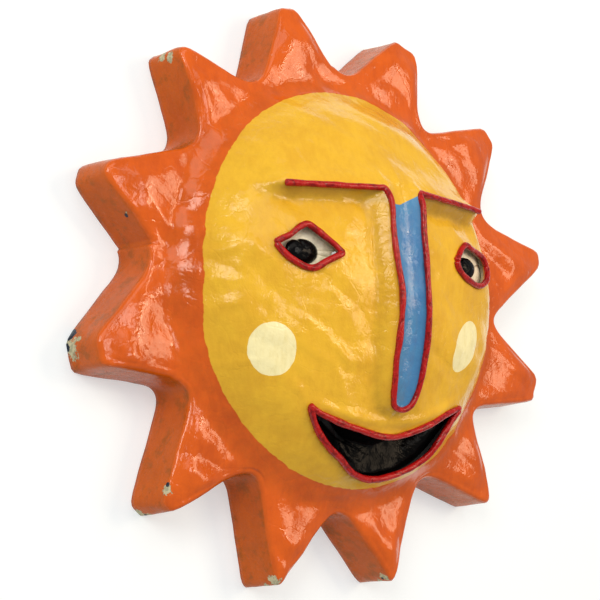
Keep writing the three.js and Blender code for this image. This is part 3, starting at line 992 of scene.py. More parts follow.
@dataclass(frozen=True)
class RedCord:
    """Red enamel on cord twisted from paper: glossy, with the twist's furrows along it and a deeper red in them as
    painted shade.
    """

    red: str = "#ad1211"
    # Deeper red for the furrows: painted shade.
    deep: str = "#820a0a"
    light: str = "#be201b"
    roughness: float = 0.17
    ior: float = 1.4
    strands: float = 2
    # Turns for a mm of cord: slower than the real twist, which is too fine to show.
    twist: float = 0.022
    uneven: float = 2.6
    furrow_depth: float = 0.12
    mottle_depth: float = 0.5

    def make(self) -> bpy.types.Material:
        """Furrows are a sine of the turns that the cord's own map gives: strands round it, twist per mm along it.

        Returns:
            The material.
        """
        desk = NodeDesk("red_enamel_on_twisted_paper")
        at = desk.add("TexCoord", output="Object")
        along, around = (desk.add("Attribute", output="Fac", attribute_name=name) for name in ("along", "around"))
        bends, mottled = (desk.add("TexNoise", {"Vector": at, "Scale": 1.0 / (size * MM), "Detail": detail,
                                                "Roughness": rough})
                          for size, detail, rough in ((12.0, 3.0, 0.55), (5.0, 4.0, 0.6)))
        turns: Any = 0.0
        for source, weight in ((around, self.strands), (along, self.twist), (bends, self.uneven)):
            turns = desk.add("Math", (source, weight, turns), operation="MULTIPLY_ADD")
        turned = desk.add("Math", (turns, 2 * np.pi), operation="MULTIPLY")
        furrow = desk.add("Math", (turned,), operation="SINE")
        # The deeper red in the furrows is painted shade.
        furrow_shade, on_ridge, rough = (desk.add("MapRange", span, interpolation_type="SMOOTHSTEP") for span in (
            (furrow, -1.0, -0.2), (mottled, 0.45, 0.7, 0.0, 0.8),
            (mottled, 0.3, 0.7, self.roughness, self.roughness + 0.12)))
        colour = desk.add("Mix", {0: furrow_shade, 6: srgb(self.deep), 7: srgb(self.red)}, 2, data_type="RGBA")
        colour = desk.add("Mix", {0: on_ridge, 6: colour, 7: srgb(self.light)}, 2, data_type="RGBA")
        relief: Any = 0.0
        for source, depth in ((furrow, self.furrow_depth), (mottled, self.mottle_depth)):
            relief = desk.add("Math", (source, depth * MM, relief), operation="MULTIPLY_ADD")
        return desk.feed(desk.surface, {
            "Base Color": colour, "Roughness": rough, "IOR": self.ior,
            "Normal": desk.add("Bump", {"Height": relief, "Strength": 1.0, "Distance": 1.0})})


@dataclass(frozen=True)
class CreamPaint:
    """Thin cream paint on rough pulp: satin and uneven to the eye, grey-green with painted shade towards the rim."""

    light: str = "#fbf5dc"
    # Grey-green painted shade towards the rim.
    rim_shade_colour: str = "#b9b38c"
    clouds: float = 9
    lumps: float = 7
    depth: float = 1.6

    def make(self) -> bpy.types.Material:
        """Painted shade darkens the cream where the mesh's edge value and a cloud pattern together are high.

        Returns:
            The material.
        """
        desk = NodeDesk("cream_paint_on_pulp")
        at = desk.add("TexCoord", output="Object")
        cloud, lump = (desk.add("TexNoise", {"Vector": at, "Scale": 1.0 / (size * MM), "Detail": detail,
                                             "Roughness": rough})
                       for size, detail, rough in ((self.clouds, 5.0, 0.65), (self.lumps, 4.0, 0.6)))
        even = desk.add("Math", (cloud, 0.5), operation="SUBTRACT")
        # The edge value grows towards the rim, where the painted shade goes.
        edge = desk.add("Attribute", output="Fac", attribute_name="edge")
        rim_shade = desk.add("Math", (even, 1.4, edge), operation="MULTIPLY_ADD")
        rim_shaded, rough = (desk.add("MapRange", span, interpolation_type="SMOOTHSTEP")
                        for span in ((rim_shade, 0.45, 1.2), (cloud, 0.3, 0.7, 0.35, 0.55)))
        relief = desk.add("Math", (lump, self.depth * MM), operation="MULTIPLY")
        return desk.feed(desk.surface, {
            "Base Color": desk.add("Mix", {0: rim_shaded, 6: srgb(self.light), 7: srgb(self.rim_shade_colour)}, 2, data_type="RGBA"),
            "Roughness": rough, "Normal": desk.add("Bump", {"Height": relief, "Strength": 1.0, "Distance": 1.0})})


@dataclass(frozen=True)
class BlackEnamel:
    """Thick black enamel over creased pulp: wet looking, nearly black, with its gloss broken by wrinkles."""

    name: str = "black_enamel"
    colour: str = "#070709"
    ridge: str = "#0a0a0b"
    wrinkle: float = 13
    depth: float = 1.3
    roughness: float = 0.04
    ior: float = 1.45
    gloss: float = 0.13

    def make(self) -> bpy.types.Material:
        """One noise gives wrinkles, a slightly paler ridge and a duller gloss.

        Returns:
            The material.
        """
        desk = NodeDesk(self.name)
        cloud = desk.add("TexNoise", {"Vector": desk.add("TexCoord", output="Object"), "Detail": 4.0,
                                      "Scale": 1.0 / (self.wrinkle * MM), "Roughness": 0.55, "Distortion": 0.8})
        ridged, rough = (desk.add("MapRange", span, interpolation_type="SMOOTHSTEP") for span in (
            (cloud, 0.4, 0.7), (cloud, 0.3, 0.7, self.roughness, self.roughness + 0.1)))
        relief = desk.add("Math", (cloud, self.depth * MM), operation="MULTIPLY")
        return desk.feed(desk.surface, {
            "Base Color": desk.add("Mix", {0: ridged, 6: srgb(self.colour), 7: srgb(self.ridge)}, 2,
                                   data_type="RGBA"),
            "Roughness": rough, "IOR": self.ior, "Specular IOR Level": self.gloss,
            "Normal": desk.add("Bump", {"Height": relief, "Strength": 1.0, "Distance": 1.0})})


@dataclass(frozen=True)
class WhiteSweep:
    """Matt white paper under the mask: even, and a little self-lit so that it stays white in the soft shadow."""

    white: str = "#c8d2d8"
    glow: float = 0.44
    roughness: float = 0.9
    gloss: float = 0.1

    def make(self) -> bpy.types.Material:
        """Plain surface with a weak white glow.

        Returns:
            The material.
        """
        desk = NodeDesk("white_sweep")
        return desk.feed(desk.surface, {
            "Base Color": srgb(self.white), "Emission Color": srgb("#ffffff"), "Emission Strength": self.glow,
            "Roughness": self.roughness, "Specular IOR Level": self.gloss})


@dataclass
class Shell:
    """Hollow shell of the mask: dome, rays and side walls outside, a pulp hollow inside, and three openings."""

    face: Face
    columns: int = 420
    wall: float = 6
    draft: float = 4
    edge_radius: float = 5.5
    least_radius: float = 3
    crowding: float = 0.45
    outer_rows: tuple[int, int, int] = (10, 7, 26)
    inner_rows: tuple[int, int, int] = (4, 3, 12)
    dome_rows: int = 84
    pole_radius: float = 2
    slope_step: float = 2
    steepest: float = 1.8
    dents: tuple[tuple[float, float, int], ...] = ((0.9, 34, 61), (0.5, 13, 67))
    dent_inset: float = 1.5
    dent_fade: float = 6
    snap: float = 9
    throat_reach: float = 12
    throat_box: tuple[float, float, float, float] = (5, 130, -145, 60)
    off_zone: float = -50
    disc_turns: tuple[float, ...] = (-180, -155, -130, -98, -60, 0, 40, 70, 100, 130, 150, 180)
    disc_reach: tuple[float, ...] = (181, 186.5, 186, 187, 188, 189, 197, 198, 194.5, 190, 185.5, 181)
    strip_top: float = 71.7
    strip_slopes: tuple[float, float] = (0.52, 0.25)
    strip_end: float = -115
    dots: tuple[tuple[float, float, float, float, float], ...] = (
        (-130, -65, 19.8, 22.6, -0.12), (101, -52, 20.5, 25.5, 0.4),
    )
    hollow_step: float = 9
    hollow_depth: float = 2.2
    brow_shade_fade: tuple[float, float] = (-16.5, -10)
    brow_shade_ends: tuple[float, float] = (-138, -112)
    brow_shade_nose: tuple[float, float] = (20, 24)

    def angles(self) -> Array:
        """Directions of the columns, moved by a share of a sine so that they crowd at the tips and in the valleys.

        Returns:
            Directions in radians, one for each column.
        """
        rays = self.face.outline.rays
        per_half = self.columns // (2 * len(rays))
        out = []
        for index, ray in enumerate(rays):
            to_last = (rays[index - 1].valley - ray.at) % 360.0
            to_next = (ray.at - ray.valley) % 360.0
            share = np.arange(per_half, -per_half, -1) / per_half
            moved = share - self.crowding * np.sin(2 * np.pi * share) / (2 * np.pi)
            out.append(np.radians(ray.at + moved * np.where(share > 0, to_last, to_next)))
        return np.concatenate(out)[::-1]

    def skin(self, x: Array, y: Array, offset: float) -> Array:
        """Front moved along its normal by an offset: the height grows by the offset times the slope's length.

        Args:
            x: places along x in mm.
            y: places along y in mm.
            offset: 0 for the outside; the inside uses the face without its dents.

        Returns:
            Heights in mm.
        """
        if offset == 0:
            return self.face.height(x, y)
        slope_x, slope_y = self.face.slopes(x, y, self.slope_step)
        steep = np.minimum(np.sqrt(1.0 + slope_x ** 2 + slope_y ** 2), self.steepest)
        return self.face.plain(x, y) + offset * steep

    def side(self, angle: Array, offset: float, counts: tuple[int, int, int]) -> Array:
        """Rows of one skin from the back rim to the middle: side wall, rounded edge, ring and dome.

        The wall leans in by the draft, the edge turns through a quarter circle, and the ring and dome follow the face.

        Args:
            angle: directions of the columns.
            offset: 0 for the outside, minus the wall for the inside.
            counts: rows of the wall, the edge and the ring.

        Returns:
            Points as rows by columns by 3.
        """
        outline = self.face.outline
        radius = max(self.edge_radius + offset, self.least_radius)
        edge = outline.reach(angle, self.draft + radius - offset)
        top = self.skin(edge * np.cos(angle), edge * np.sin(angle), offset)
        rows = []
        for share in np.linspace(0.0, 1.0, counts[0], endpoint=False):
            rows.append((outline.reach(angle, self.draft * share - offset), share * (top - radius)))
        for turn in np.linspace(0.0, np.pi / 2, counts[1], endpoint=False):
            inset = self.draft - offset + radius * (1.0 - np.cos(turn))
            rows.append((outline.reach(angle, inset), top - radius * (1.0 - np.sin(turn))))
        dome_edge = self.face.inner_reach + offset
        reaches = [edge + (dome_edge - edge) * share for share in np.linspace(0.0, 1.0, counts[2], endpoint=False)]
        reaches += [np.full_like(angle, reach) for reach in np.linspace(dome_edge, self.pole_radius, self.dome_rows)]
        rows += [(reach, self.skin(reach * np.cos(angle), reach * np.sin(angle), offset)) for reach in reaches]
        return np.stack([np.stack([r * np.cos(angle), r * np.sin(angle), z], axis=-1) for r, z in rows])

    def uneven_walls(self, points: Array, angle: Array) -> Array:
        """Side walls pressed in and out by hand: the first rows move along their direction, never past the outline.

        Args:
            points: the outside as rows by columns by 3.
            angle: directions of the columns.

        Returns:
            The moved points.
        """
        push = sum(depth * Lumps(size, seed).at(*np.moveaxis(points, -1, 0)) for depth, size, seed in self.dents)
        row = np.arange(len(points))[:, None]
        fade = np.clip(1.0 - (row - sum(self.outer_rows[:2])) / self.dent_fade, 0.0, 1.0)
        heading = np.stack([np.cos(angle), np.sin(angle), np.zeros_like(angle)], axis=-1)
        return points + ((push - self.dent_inset) * fade)[..., None] * heading

    def zones(self, points: Array) -> dict[str, Array]:
        """Signed distances in mm to the painted zones, a field that is 1 in hollows, for dirt and painted shade, and a
        field that is 1 under the brow, for painted shade.

        The strip is the nose between slanting ends, a dot is a leaning oval, and a hollow is where the mean of four
        places round a point is higher than the point.

        Args:
            points: vertices of the outside.

        Returns:
            Named values for each vertex.
        """
        x, y = points[:, 0], points[:, 1]
        half, _ = self.face.nose_section(y)
        right, left = self.strip_slopes
        top = self.strip_top + right * np.maximum(x + 2.0, 0.0) + left * np.maximum(-x - 10.0, 0.0)
        strip = np.minimum(np.minimum(half - np.abs(x - self.face.bend(y)), top - y), y - self.strip_end)
        dot = np.max([wide * (1.0 - np.hypot((x - cx - lean * (y - cy)) / wide, (y - cy) / high))
                      for cx, cy, wide, high, lean in self.dots], axis=0)
        step = self.hollow_step
        near = [self.face.plain(x + dx, y + dy) for dx, dy in ((step, 0), (-step, 0), (0, step), (0, -step))]
        hollow = np.clip((np.mean(near, axis=0) - self.face.plain(x, y)) / self.hollow_depth, 0.0, 1.0)
        reach = np.interp(np.degrees(np.arctan2(y, x)), self.disc_turns, self.disc_reach)
        # The field under the brow marks where its ochre painted shade goes.
        below = self.face.crest(x)[0] - y
        under = smooth_step(-below, *self.brow_shade_fade) * (below > -1.0)
        under = under * smooth_step(-np.abs(x + 6.0), *self.brow_shade_ends) * smooth_step(np.abs(x), *self.brow_shade_nose)
        return {"disc": reach - np.hypot(x, y), "strip": strip, "dot": dot, "hollow": hollow, "under": under}

    def build(self) -> MeshGrid:
        """Both skins on one grid, joined along the back rim and round each opening.

        Faces with a corner inside an opening are left out, the corners along the gap are moved onto the opening's
        line, and a wall joins the two skins there.

        Returns:
            The shell's vertices and faces.
        """
        angle = self.angles()
        columns = len(angle)
        outer = self.uneven_walls(self.side(angle, 0.0, self.outer_rows), angle)
        inner = self.side(angle, -self.wall, self.inner_rows)
        skins = [outer.reshape(-1, 3), inner.reshape(-1, 3)]
        quads = [grid_faces(len(outer), columns), grid_faces(len(inner), columns, flip=True)]
        starts = [sum(counts) * columns for counts in (self.outer_rows, self.inner_rows)]
        loops = [opening.loop() for opening in (*EYES.values(), MOUTH)]
        plane = skins[0][starts[0]:, :2]
        gone = np.any([inside_loop(plane, loop) for loop in loops], axis=0)
        kept = [faces[~np.any(self._in_dome(faces, start, gone), axis=1)] for faces, start in zip(quads, starts)]

        edges = self.open_edges(kept[0], starts[0], columns)
        rim = np.unique(edges)
        local = rim - starts[0]
        target = plane[local].copy()
        for loop in loops:
            spot = nearest_on_loop(plane[local], loop)
            near = np.linalg.norm(spot - plane[local], axis=1) < self.snap
            target[near] = spot[near]
        skins[0][rim] = np.column_stack([target, self.skin(target[:, 0], target[:, 1], 0.0)])
        low = self.skin(target[:, 0], target[:, 1], -self.wall)
        skins[1][local + starts[1]] = np.column_stack([target, low])

        outside = self.zones(skins[0]) | {"throat": np.zeros(len(skins[0])), "inner": np.zeros(len(skins[0]))}
        inside = {name: np.full(len(skins[1]), self.off_zone) for name in ("disc", "strip", "dot")}
        inside |= {name: np.zeros(len(skins[1])) for name in ("hollow", "under", "throat")}
        inside["inner"] = np.ones(len(skins[1]))
        mouth = MOUTH.loop()
        outside["throat"][rim] = np.linalg.norm(nearest_on_loop(target, mouth) - target, axis=1) < 1.0
        x, half_width, y, half_height = self.throat_box
        flat = skins[1][:, :2]
        by_mouth = (np.abs(flat[:, 0] - x) < half_width) & (np.abs(flat[:, 1] - y) < half_height)
        off = nearest_on_loop(flat[by_mouth], mouth) - flat[by_mouth]
        inside["throat"][by_mouth] = np.linalg.norm(off, axis=1) < self.throat_reach

        shell = MeshGrid()
        first = shell.add(skins[0], [kept[0]], **outside)
        second = shell.add(skins[1], [kept[1]], **inside)
        over = edges - starts[0] + starts[1] + second
        walls = np.stack([edges[:, 1] + first, edges[:, 0] + first, over[:, 0], over[:, 1]], axis=-1)
        shell.faces.extend([band_faces(first, second, columns), walls])
        for skin, start, values, flip in ((skins[0], first, outside, False), (skins[1], second, inside, True)):
            fan = fan_faces(start + len(skin) - columns, columns, shell.count, flip)
            hub = {name: value[-columns:].mean() for name, value in values.items()}
            shell.add(skin[-columns:].mean(axis=0)[None], [], **hub)
            shell.faces.append(fan)
        return shell

    @staticmethod
    def _in_dome(quads: Array, start: int, gone: Array) -> Array:
        """Whether each corner of each face is a removed vertex of the dome, whose vertices begin at start."""
        local = quads - start
        return np.where(local >= 0, gone[np.clip(local, 0, len(gone) - 1)], False)

    @staticmethod
    def open_edges(quads: Array, start: int, columns: int) -> Array:
        """Edges round the openings: those without a twin that runs the other way, less the rim and the pole.

        Args:
            quads: faces of the outside.
            start: first vertex of the dome.
            columns: vertices in a row.

        Returns:
            Two vertices for each edge, in the direction of the face it belongs to.
        """
        edges = np.concatenate([np.stack([quads[:, i], quads[:, (i + 1) % 4]], axis=-1) for i in range(4)])
        key, twin = (edges[:, i].astype(np.int64) * 10_000_000 + edges[:, 1 - i] for i in (0, 1))
        lone = edges[~np.isin(key, twin)]
        return lone[(lone.min(axis=1) >= start) & (lone.max(axis=1) <= quads.max() - columns)]

    def dress(self, material: bpy.types.Material) -> bpy.types.Object:
        """Makes the shell's object in place of its CAD node."""
        shell = self.build().object("sun_shell", material, DOME_CENTRE)
        return stand_for(shell, Slot.SHELL, "mask_shell")


def stand_for(obj: bpy.types.Object, slot: Slot, *nodes: str) -> bpy.types.Object:
    """Lets a piece ride on the mask in place of its CAD nodes.

    Args:
        obj: the piece.
        slot: material slot of the record; not used.
        nodes: CAD nodes that it replaces.

    Returns:
        The piece.
    """
    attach(obj, "root")
    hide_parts(*nodes)
    LOG.info("%s: %d faces for %s", obj.name, len(obj.data.polygons), ", ".join(nodes))
    return obj


@dataclass
class Cord:
    """Cord of twisted paper laid along a line on the face: a round section carried along it, uneven in thickness."""

    radius: float
    seed: int
    sides: int = 18
    step: float = 1.1
    lift: float = 1.2
    lump_size: float = 9
    lump_share: float = 0.07
    swell_size: float = 16
    swell_share: float = 0.1
    tip_length: float = 0.8
    tip_share: float = 0.02
    wander_size: float = 26
    wander: float = 0.21
    slope_step: float = 3

    def tube(self, line: Array, normal: Array) -> tuple[Array, list[Array], dict[str, Array]]:
        """Closed tube round a line.

        At each point the section lies across the line; its radius swells and thins along the cord and a little round
        it, and the last few rows close to a rounded tip.

        Args:
            line: points along the cord in mm.
            normal: direction away from the face at each point.

        Returns:
            Vertices, faces and the cord's own map.
        """
        tangent = np.gradient(line, axis=0)
        tangent /= np.linalg.norm(tangent, axis=1, keepdims=True)
        across = np.cross(tangent, normal)
        across /= np.linalg.norm(across, axis=1, keepdims=True)
        up = np.cross(across, tangent)
        length = np.concatenate([[0.0], np.cumsum(np.linalg.norm(np.diff(line, axis=0), axis=1))])
        turn = np.linspace(0.0, 2 * np.pi, self.sides, endpoint=False)
        along, around = np.meshgrid(length, turn, indexing="ij")
        lumps = Lumps(self.lump_size, self.seed).at(along, 4.0 * np.cos(around), 4.0 * np.sin(around))
        swell = Lumps(self.swell_size, self.seed + 5).at(along, 0.0)
        thick = 1.0 + self.swell_share * swell + self.lump_share * lumps
        from_end = np.minimum(length, length[-1] - length) / (self.tip_length * self.radius)
        tip = np.sqrt(np.clip(1.0 - (1.0 - np.clip(from_end, 0.0, 1.0)) ** 2, 0.0, 1.0))
        reach = self.radius * thick * np.maximum(tip, self.tip_share)[:, None]
        points = (line[:, None, :] + reach[..., None] * (np.cos(turn)[None, :, None] * across[:, None, :]
                                                        + np.sin(turn)[None, :, None] * up[:, None, :]))
        whole = len(line) * self.sides
        faces = [grid_faces(len(line), self.sides, flip=True), fan_faces(0, self.sides, whole),
                 fan_faces(whole - self.sides, self.sides, whole + 1, flip=True)]
        tables = {"along": np.concatenate([along.ravel(), [0.0, length[-1]]]),
                  "around": np.concatenate([(around / (2 * np.pi)).ravel(), [0.0, 0.0]])}
        return np.concatenate([points.reshape(-1, 3), line[:1], line[-1:]]), faces, tables

    def lay(self, face: Face, plane: Array) -> tuple[Array, Array]:
        """Lifts a line of the plane onto the face.

        Args:
            face: the surface.
            plane: points of the line in mm.

        Returns:
            Points on the face, and the direction away from it.
        """
        x, y = plane[:, 0], plane[:, 1]
        slope_x, slope_y = face.slopes(x, y, self.slope_step)
        normal = np.stack([-slope_x, -slope_y, np.ones_like(x)], axis=-1)
        normal /= np.linalg.norm(normal, axis=1, keepdims=True)
        lift = self.lift + self.wander * Lumps(self.wander_size, self.seed + 9).at(x, y)
        return np.stack([x, y, face.height(x, y)], axis=-1) + normal * lift[:, None], normal


@dataclass
class BrowAndNose:
    """The long cord: along one brow, down one ridge of the nose, round its tip, and back up to the other brow."""

    face: Face
    node: str = "brow_and_nose_cord"
    cord: Cord = field(default_factory=lambda: Cord(2.8, 101))
    brows: tuple[tuple[float, ...], ...] = ((124, 100, 72, 45, 30, 23.5), (127, 100, 72, 45, 29, 22.5))
    count: int = 620
    tip_x: float = 1.5
    lift: float = 0.8
    wander_seed: int = 77
    wander: tuple[float, float] = (0.5, 0.4)

    def line(self) -> Array:
        """Curve through the crest of the brow and the ridges of the nose, just above the surface.

        Returns:
            Points along the cord.
        """
        face = self.face
        halves = []
        for sign, brow_x in zip((-1.0, 1.0), self.brows):
            x = sign * np.array(brow_x, float)
            y = np.array(face.nose_y[1:-1][::-1])
            half, top = face.nose_section(y)
            brow = np.stack([x, *face.crest(x)], axis=-1)
            halves.append(np.concatenate([brow, np.stack([sign * half + face.bend(y), y, top], axis=-1)]))
        tip = np.array([[self.tip_x + face.nose_lean, face.nose_y[0] + 0.5, face.nose_top[0]]])
        line = spline(np.concatenate([halves[0], tip, halves[1][::-1]]), self.count)
        wander = Lumps(30.0, self.wander_seed)
        line[:, 0] += self.wander[0] * wander.at(line[:, 0], line[:, 1])
        line[:, 1] += self.wander[1] * wander.at(line[:, 0] + 400.0, line[:, 1])
        line[:, 2] += self.lift
        return line

    def dress(self, material: bpy.types.Material) -> bpy.types.Object:
        """Makes the cord in place of its CAD node.

        Args:
            material: its finish.

        Returns:
            The piece.
        """
        line = self.line()
        points, faces, tables = self.cord.tube(line, np.tile([0.0, 0.0, 1.0], (len(line), 1)))
        grid = MeshGrid()
        grid.add(points, faces, **tables)
        return stand_for(grid.object(self.node + "_red", material, DOME_CENTRE), Slot.CORD, self.node)


@dataclass
class Rim:
    """Two cords round an opening, the upper one over the lower one where they cross at the corners."""

    opening: Opening
    node: str
    radius: float
    seed: int
    wander_size: float = 15
    wander: float = 0.35

    def dress(self, face: Face, material: bpy.types.Material) -> bpy.types.Object:
        """Makes both cords as one piece in place of the CAD node.

        Args:
            face: the surface that they lie on.
            material: their finish.

        Returns:
            The piece.
        """
        grid = MeshGrid()
        for number, line in enumerate((self.opening.lower, self.opening.upper)):
            cord = Cord(self.radius, self.seed + 20 * number)
            knots = np.array(line, float)
            length = float(np.sum(np.linalg.norm(np.diff(knots, axis=0), axis=1)))
            plane = spline(knots, int(length / cord.step))
            wander = Lumps(self.wander_size, self.seed + 3 + number).at(plane[:, 0], plane[:, 1])
            fade = np.sin(np.linspace(0.0, np.pi, len(plane)))
            points, faces, tables = cord.tube(*cord.lay(face, plane + (self.wander * wander * fade)[:, None]))
            grid.add(points, faces, **tables)
        return stand_for(grid.object(self.node + "_red", material, DOME_CENTRE), Slot.CORD, self.node)


@dataclass
class Dish:
    """Dish glued behind an opening: rings that run from its middle to a rim that follows the inside of the shell."""

    face: Face
    opening: Opening
    node: str
    centre: tuple[float, float]
    depth: float
    growth: float
    thickness: float = 3
    wall: float = 6
    gap: float = 1.6
    slant: float = 1.12
    hub: float = 0.04
    eased: tuple[float, float] = (0.35, 0.97)
    dent: float = 0.9
    dent_size: float = 16
    rings: int = 26
    count: int = 200
    seed: int = 301

    def floor(self) -> float:
        """Level of the dish's floor."""
        x, y = np.array(self.centre)[:, None]
        return float(self.face.plain(x, y)[0]) - self.wall - self.gap - self.depth

    def side(self, under: float) -> Array:
        """One face of the dish: its height eases from the floor to the shell's inside near the rim.

        Args:
            under: how far below the front the face lies, in mm.

        Returns:
            Points as rings by count by 3.
        """
        middle = np.array(self.centre, float)
        loop = self.opening.loop(self.count)
        run = np.roll(loop, -1, axis=0) - np.roll(loop, 1, axis=0)
        outward = np.stack([run[:, 1], -run[:, 0]], axis=-1) / np.linalg.norm(run, axis=1, keepdims=True)
        share = np.linspace(self.hub, 1.0, self.rings)[:, None, None]
        plane = middle + (loop + self.growth * outward - middle) * share
        x, y = plane[..., 0], plane[..., 1]
        behind = self.face.plain(x, y) - (self.wall + self.gap) * self.slant
        dents = self.dent * Lumps(self.dent_size, self.seed).at(x, y) * np.sin(np.pi * share[..., 0])
        z = self.floor() + (behind - self.floor()) * smooth_step(share[..., 0], *self.eased) + dents
        return np.stack([x, y, np.minimum(z, behind) - under], axis=-1)

    def dress(self, material: bpy.types.Material, slot: Slot, name: str) -> bpy.types.Object:
        """Makes the dish in place of its CAD node.

        Args:
            material: its finish.
            slot: material slot of the record.
            name: name of the piece.

        Returns:
            The piece.
        """
        grid = MeshGrid()
        share = np.repeat(np.linspace(self.hub, 1.0, self.rings), self.count)
        last = (self.rings - 1) * self.count
        rims = []
        for under, flip in ((0.0, False), (self.thickness, True)):
            points = self.side(under)
            flat = np.concatenate([points.reshape(-1, 3), points[0].mean(axis=0)[None]])
            faces = [grid_faces(self.rings, self.count, flip=not flip),
                     fan_faces(0, self.count, len(flat) - 1, flip)]
            rims.append(last + grid.add(flat, faces, edge=np.concatenate([share, [0.0]])))
        grid.faces.append(band_faces(rims[0], rims[1], self.count))
        return stand_for(grid.object(name, material, DOME_CENTRE), slot, self.node)


@dataclass
class Pupil:
    """Black pupil: a low dome of pulp with a lumpy outline and a bite out of its upper left edge."""

    node: str
    centre: tuple[float, float]
    base: float
    half_width: float = 18
    half_height: float = 11.5
    rise: float = 7.5
    uneven: float = 0.04
    bite: float = 0.12
    bite_at: float = 122
    bite_width: float = 0.24
    lump: float = 0.35
    lump_size: float = 7
    seed: int = 401
    rings: int = 24
    count: int = 96

    def dress(self, material: bpy.types.Material) -> bpy.types.Object:
        """Dome: height is the rise times the root of one less the squared share of the radius, on an uneven outline.

        Args:
            material: its finish.

        Returns:
            The piece.
        """
        turn = np.linspace(0.0, 2 * np.pi, self.count, endpoint=False)
        oval = 1.0 / np.hypot(np.cos(turn) / self.half_width, np.sin(turn) / self.half_height)
        uneven = 1.0 + self.uneven * Lumps(0.9, self.seed).at(np.cos(turn), np.sin(turn))
        bite = self.bite * np.exp(-(((turn - np.radians(self.bite_at)) / self.bite_width) ** 2))
        outline = oval * (uneven - bite)
        share = np.sin(np.linspace(0.0, np.pi / 2, self.rings))[::-1][:-1, None]
        x = self.centre[0] + share * outline * np.cos(turn)
        y = self.centre[1] + share * outline * np.sin(turn)
        z = self.base + self.rise * np.sqrt(1.0 - share ** 2) * (1.0 - 1.2 * bite)
        z = z + self.lump * Lumps(self.lump_size, self.seed + 1).at(x, y) * (1.0 - share ** 2)
        hubs = np.array([[*self.centre, self.base + self.rise], [*self.centre, self.base]])
        whole = len(share) * self.count
        faces = [grid_faces(len(share), self.count), fan_faces(whole - self.count, self.count, whole),
                 fan_faces(0, self.count, whole + 1, flip=True)]
        grid = MeshGrid()
        grid.add(np.concatenate([np.stack([x, y, z], axis=-1).reshape(-1, 3), hubs]), faces)
        return stand_for(grid.object(self.node + "_black", material, DOME_CENTRE), Slot.BLACK, self.node)


@dataclass(frozen=True)
class Softbox:
    """Rectangular soft light: its name, place and size in metres, power in watts, and tint."""

    name: str
    spot: tuple[float, float, float]
    size: tuple[float, float]
    power: float
    tint: str

    def hang(self, target: Sequence[float]) -> bpy.types.Object:
        """Makes the light.

        Args:
            target: point that it faces, in metres.

        Returns:
            The light.
        """
        data = bpy.data.lights.new(self.name, "AREA")
        data.shape = "RECTANGLE"
        data.size, data.size_y = self.size
        data.energy = self.power
        data.color = srgb(self.tint)[:3]
        lamp = bpy.data.objects.new(self.name, data)
        lamp.location = Vector(self.spot)
        lamp.rotation_euler = (Vector(target) - lamp.location).to_track_quat("-Z", "Y").to_euler()
        bpy.context.scene.collection.objects.link(lamp)
        return lamp


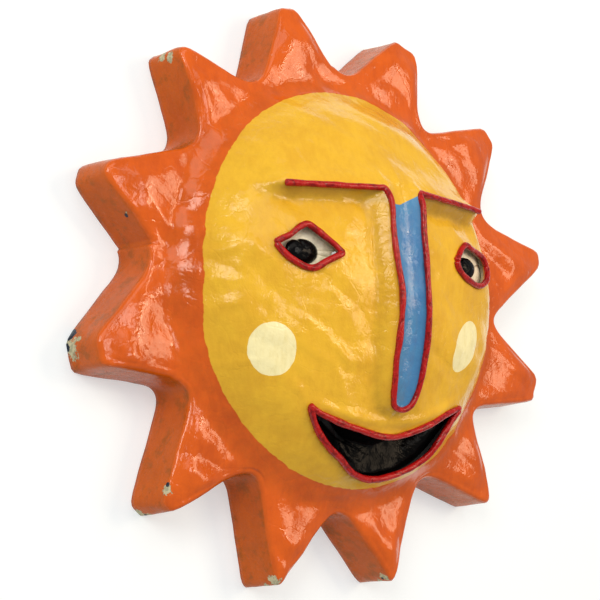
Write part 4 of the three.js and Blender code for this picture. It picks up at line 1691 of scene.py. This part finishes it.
@dataclass
class Studio:
    """Pale floor, soft lights and the camera at the photograph's angle.

    Angles are in radians. The camera's distance and offset are in mm from the middle of the dome, and so are the
    floor's measures.
    """

    yaw: float = 0.7068
    pitch: float = 0.2125
    roll: float = -0.0126
    distance: float = 1073.16
    offset: tuple[float, float] = (14.80, 2.06)
    image: float = 600
    sensor: float = 36
    floor_half: float = 6000
    floor_gap: float = 0.3
    surroundings: float = 0.35
    target: tuple[float, float, float] = (0, 0, 0.06)
    lights: tuple[Softbox, ...] = (
        Softbox("right_softbox", (1.06, 0.28, 1.5), (1.25, 0.46), 9.8, "#ffe3c0"),
        Softbox("left_softbox", (-1.75, 0.85, 1.5), (1.0, 0.85), 21.5, "#fff6ea"),
        Softbox("top_softbox", (-0.6, 1.3, 1.9), (1.6, 1.4), 12.0, "#fff6ea"),
        Softbox("small_lamp", (0.72, 0.3, 1.6), (0.3, 0.16), 3.2, "#ffe3c0"),
        Softbox("upper_lamp", (0.07, 0.2, 1.5), (0.3, 0.4), 2.2, "#fff6ea"),
    )

    def axes(self) -> Array:
        """Directions of the camera.

        Returns:
            Right, up and backward as rows.
        """
        away = np.array([-np.sin(self.yaw) * np.cos(self.pitch), -np.sin(self.yaw) * np.sin(self.pitch),
                         np.cos(self.yaw)])
        away /= np.linalg.norm(away)
        right = np.cross([0.0, 1.0, 0.0], away)
        right /= np.linalg.norm(right)
        up = np.cross(away, right)
        c, s = np.cos(self.roll), np.sin(self.roll)
        return np.array([c * right + s * up, -s * right + c * up, away])

    def camera(self) -> bpy.types.Object:
        """Camera whose picture scale is one pixel a millimetre at the middle of the mask.

        Returns:
            The camera.
        """
        rows = self.axes()
        spot = rows.T @ np.array([-self.offset[0], -self.offset[1], self.distance])
        spot = (spot + np.array(DOME_CENTRE)) * MM
        data = bpy.data.cameras.new("camera")
        data.sensor_width = self.sensor
        data.lens = self.sensor * self.distance / self.image
        data.clip_end = 20.0
        camera = bpy.data.objects.new("camera", data)
        turn = Matrix([list(column) for column in rows.T]).to_4x4()
        camera.matrix_world = Matrix.Translation(Vector(spot)) @ turn
        bpy.context.scene.collection.objects.link(camera)
        bpy.context.scene.camera = camera
        return camera

    def floor(self) -> bpy.types.Object:
        """Wide matt floor just under the rim.

        Returns:
            The floor.
        """
        square = np.array([[-1, -1, 0], [1, -1, 0], [1, 1, 0], [-1, 1, 0]]) * self.floor_half
        grid = MeshGrid()
        grid.add(square, [np.array([[0, 1, 2, 3]])])
        floor = grid.object("floor", WhiteSweep().make(), (0.0, 0.0, -self.floor_gap))
        return floor

    def build(self) -> None:
        """Sets up the floor, dim white surroundings, the softboxes that the enamel mirrors, and the camera."""
        self.floor()
        world = bpy.data.worlds.new("surroundings")
        world.use_nodes = True
        back = world.node_tree.nodes["Background"]
        back.inputs["Color"].default_value = srgb("#ffffff")
        back.inputs["Strength"].default_value = self.surroundings
        bpy.context.scene.world = world
        for light in self.lights:
            light.hang(self.target)
        bpy.context.scene.view_settings.view_transform = "Standard"
        self.camera()


def main() -> None:
    """Builds the mask's pieces in order, then the studio."""
    logging.basicConfig(level=logging.INFO, format="%(message)s")
    face = Face()
    red, cream, black = RedCord().make(), CreamPaint().make(), BlackEnamel().make()
    Shell(face).dress(PaintedPaper().make())
    BrowAndNose(face).dress(red)
    Rim(EYES[Side.LEFT], "left_eye_rim", 3.0, 131).dress(face, red)
    Rim(EYES[Side.RIGHT], "right_eye_rim", 3.0, 171).dress(face, red)
    Rim(MOUTH, "mouth_rim", 3.1, 211).dress(face, red)
    for side, middle, pupil, wide in ((Side.LEFT, (-102.0, 23.0), (-103.5, 20.5), 18.0),
                                      (Side.RIGHT, (113.0, 27.0), (109.0, 26.5), 15.5)):
        cup = Dish(face, EYES[side], f"{side.value}_eye_cup", middle, depth=2.0, growth=6.0, seed=311)
        cup.dress(cream, Slot.CREAM, f"{side.value}_eye_white")
        Pupil(f"{side.value}_pupil", pupil, cup.floor() - 0.6, half_width=wide).dress(black)
    lining = Dish(face, MOUTH, "mouth_lining", (4.0, -157.0), depth=15.0, growth=7.0, seed=351, rings=34, count=300)
    inside = BlackEnamel("black_enamel_lining", "#040404", wrinkle=24.0, depth=2.4, gloss=0.07, roughness=0.14)
    lining.dress(inside.make(), Slot.BLACK, "mouth_inside")
    Studio().build()


if __name__ == "__main__":
    main()
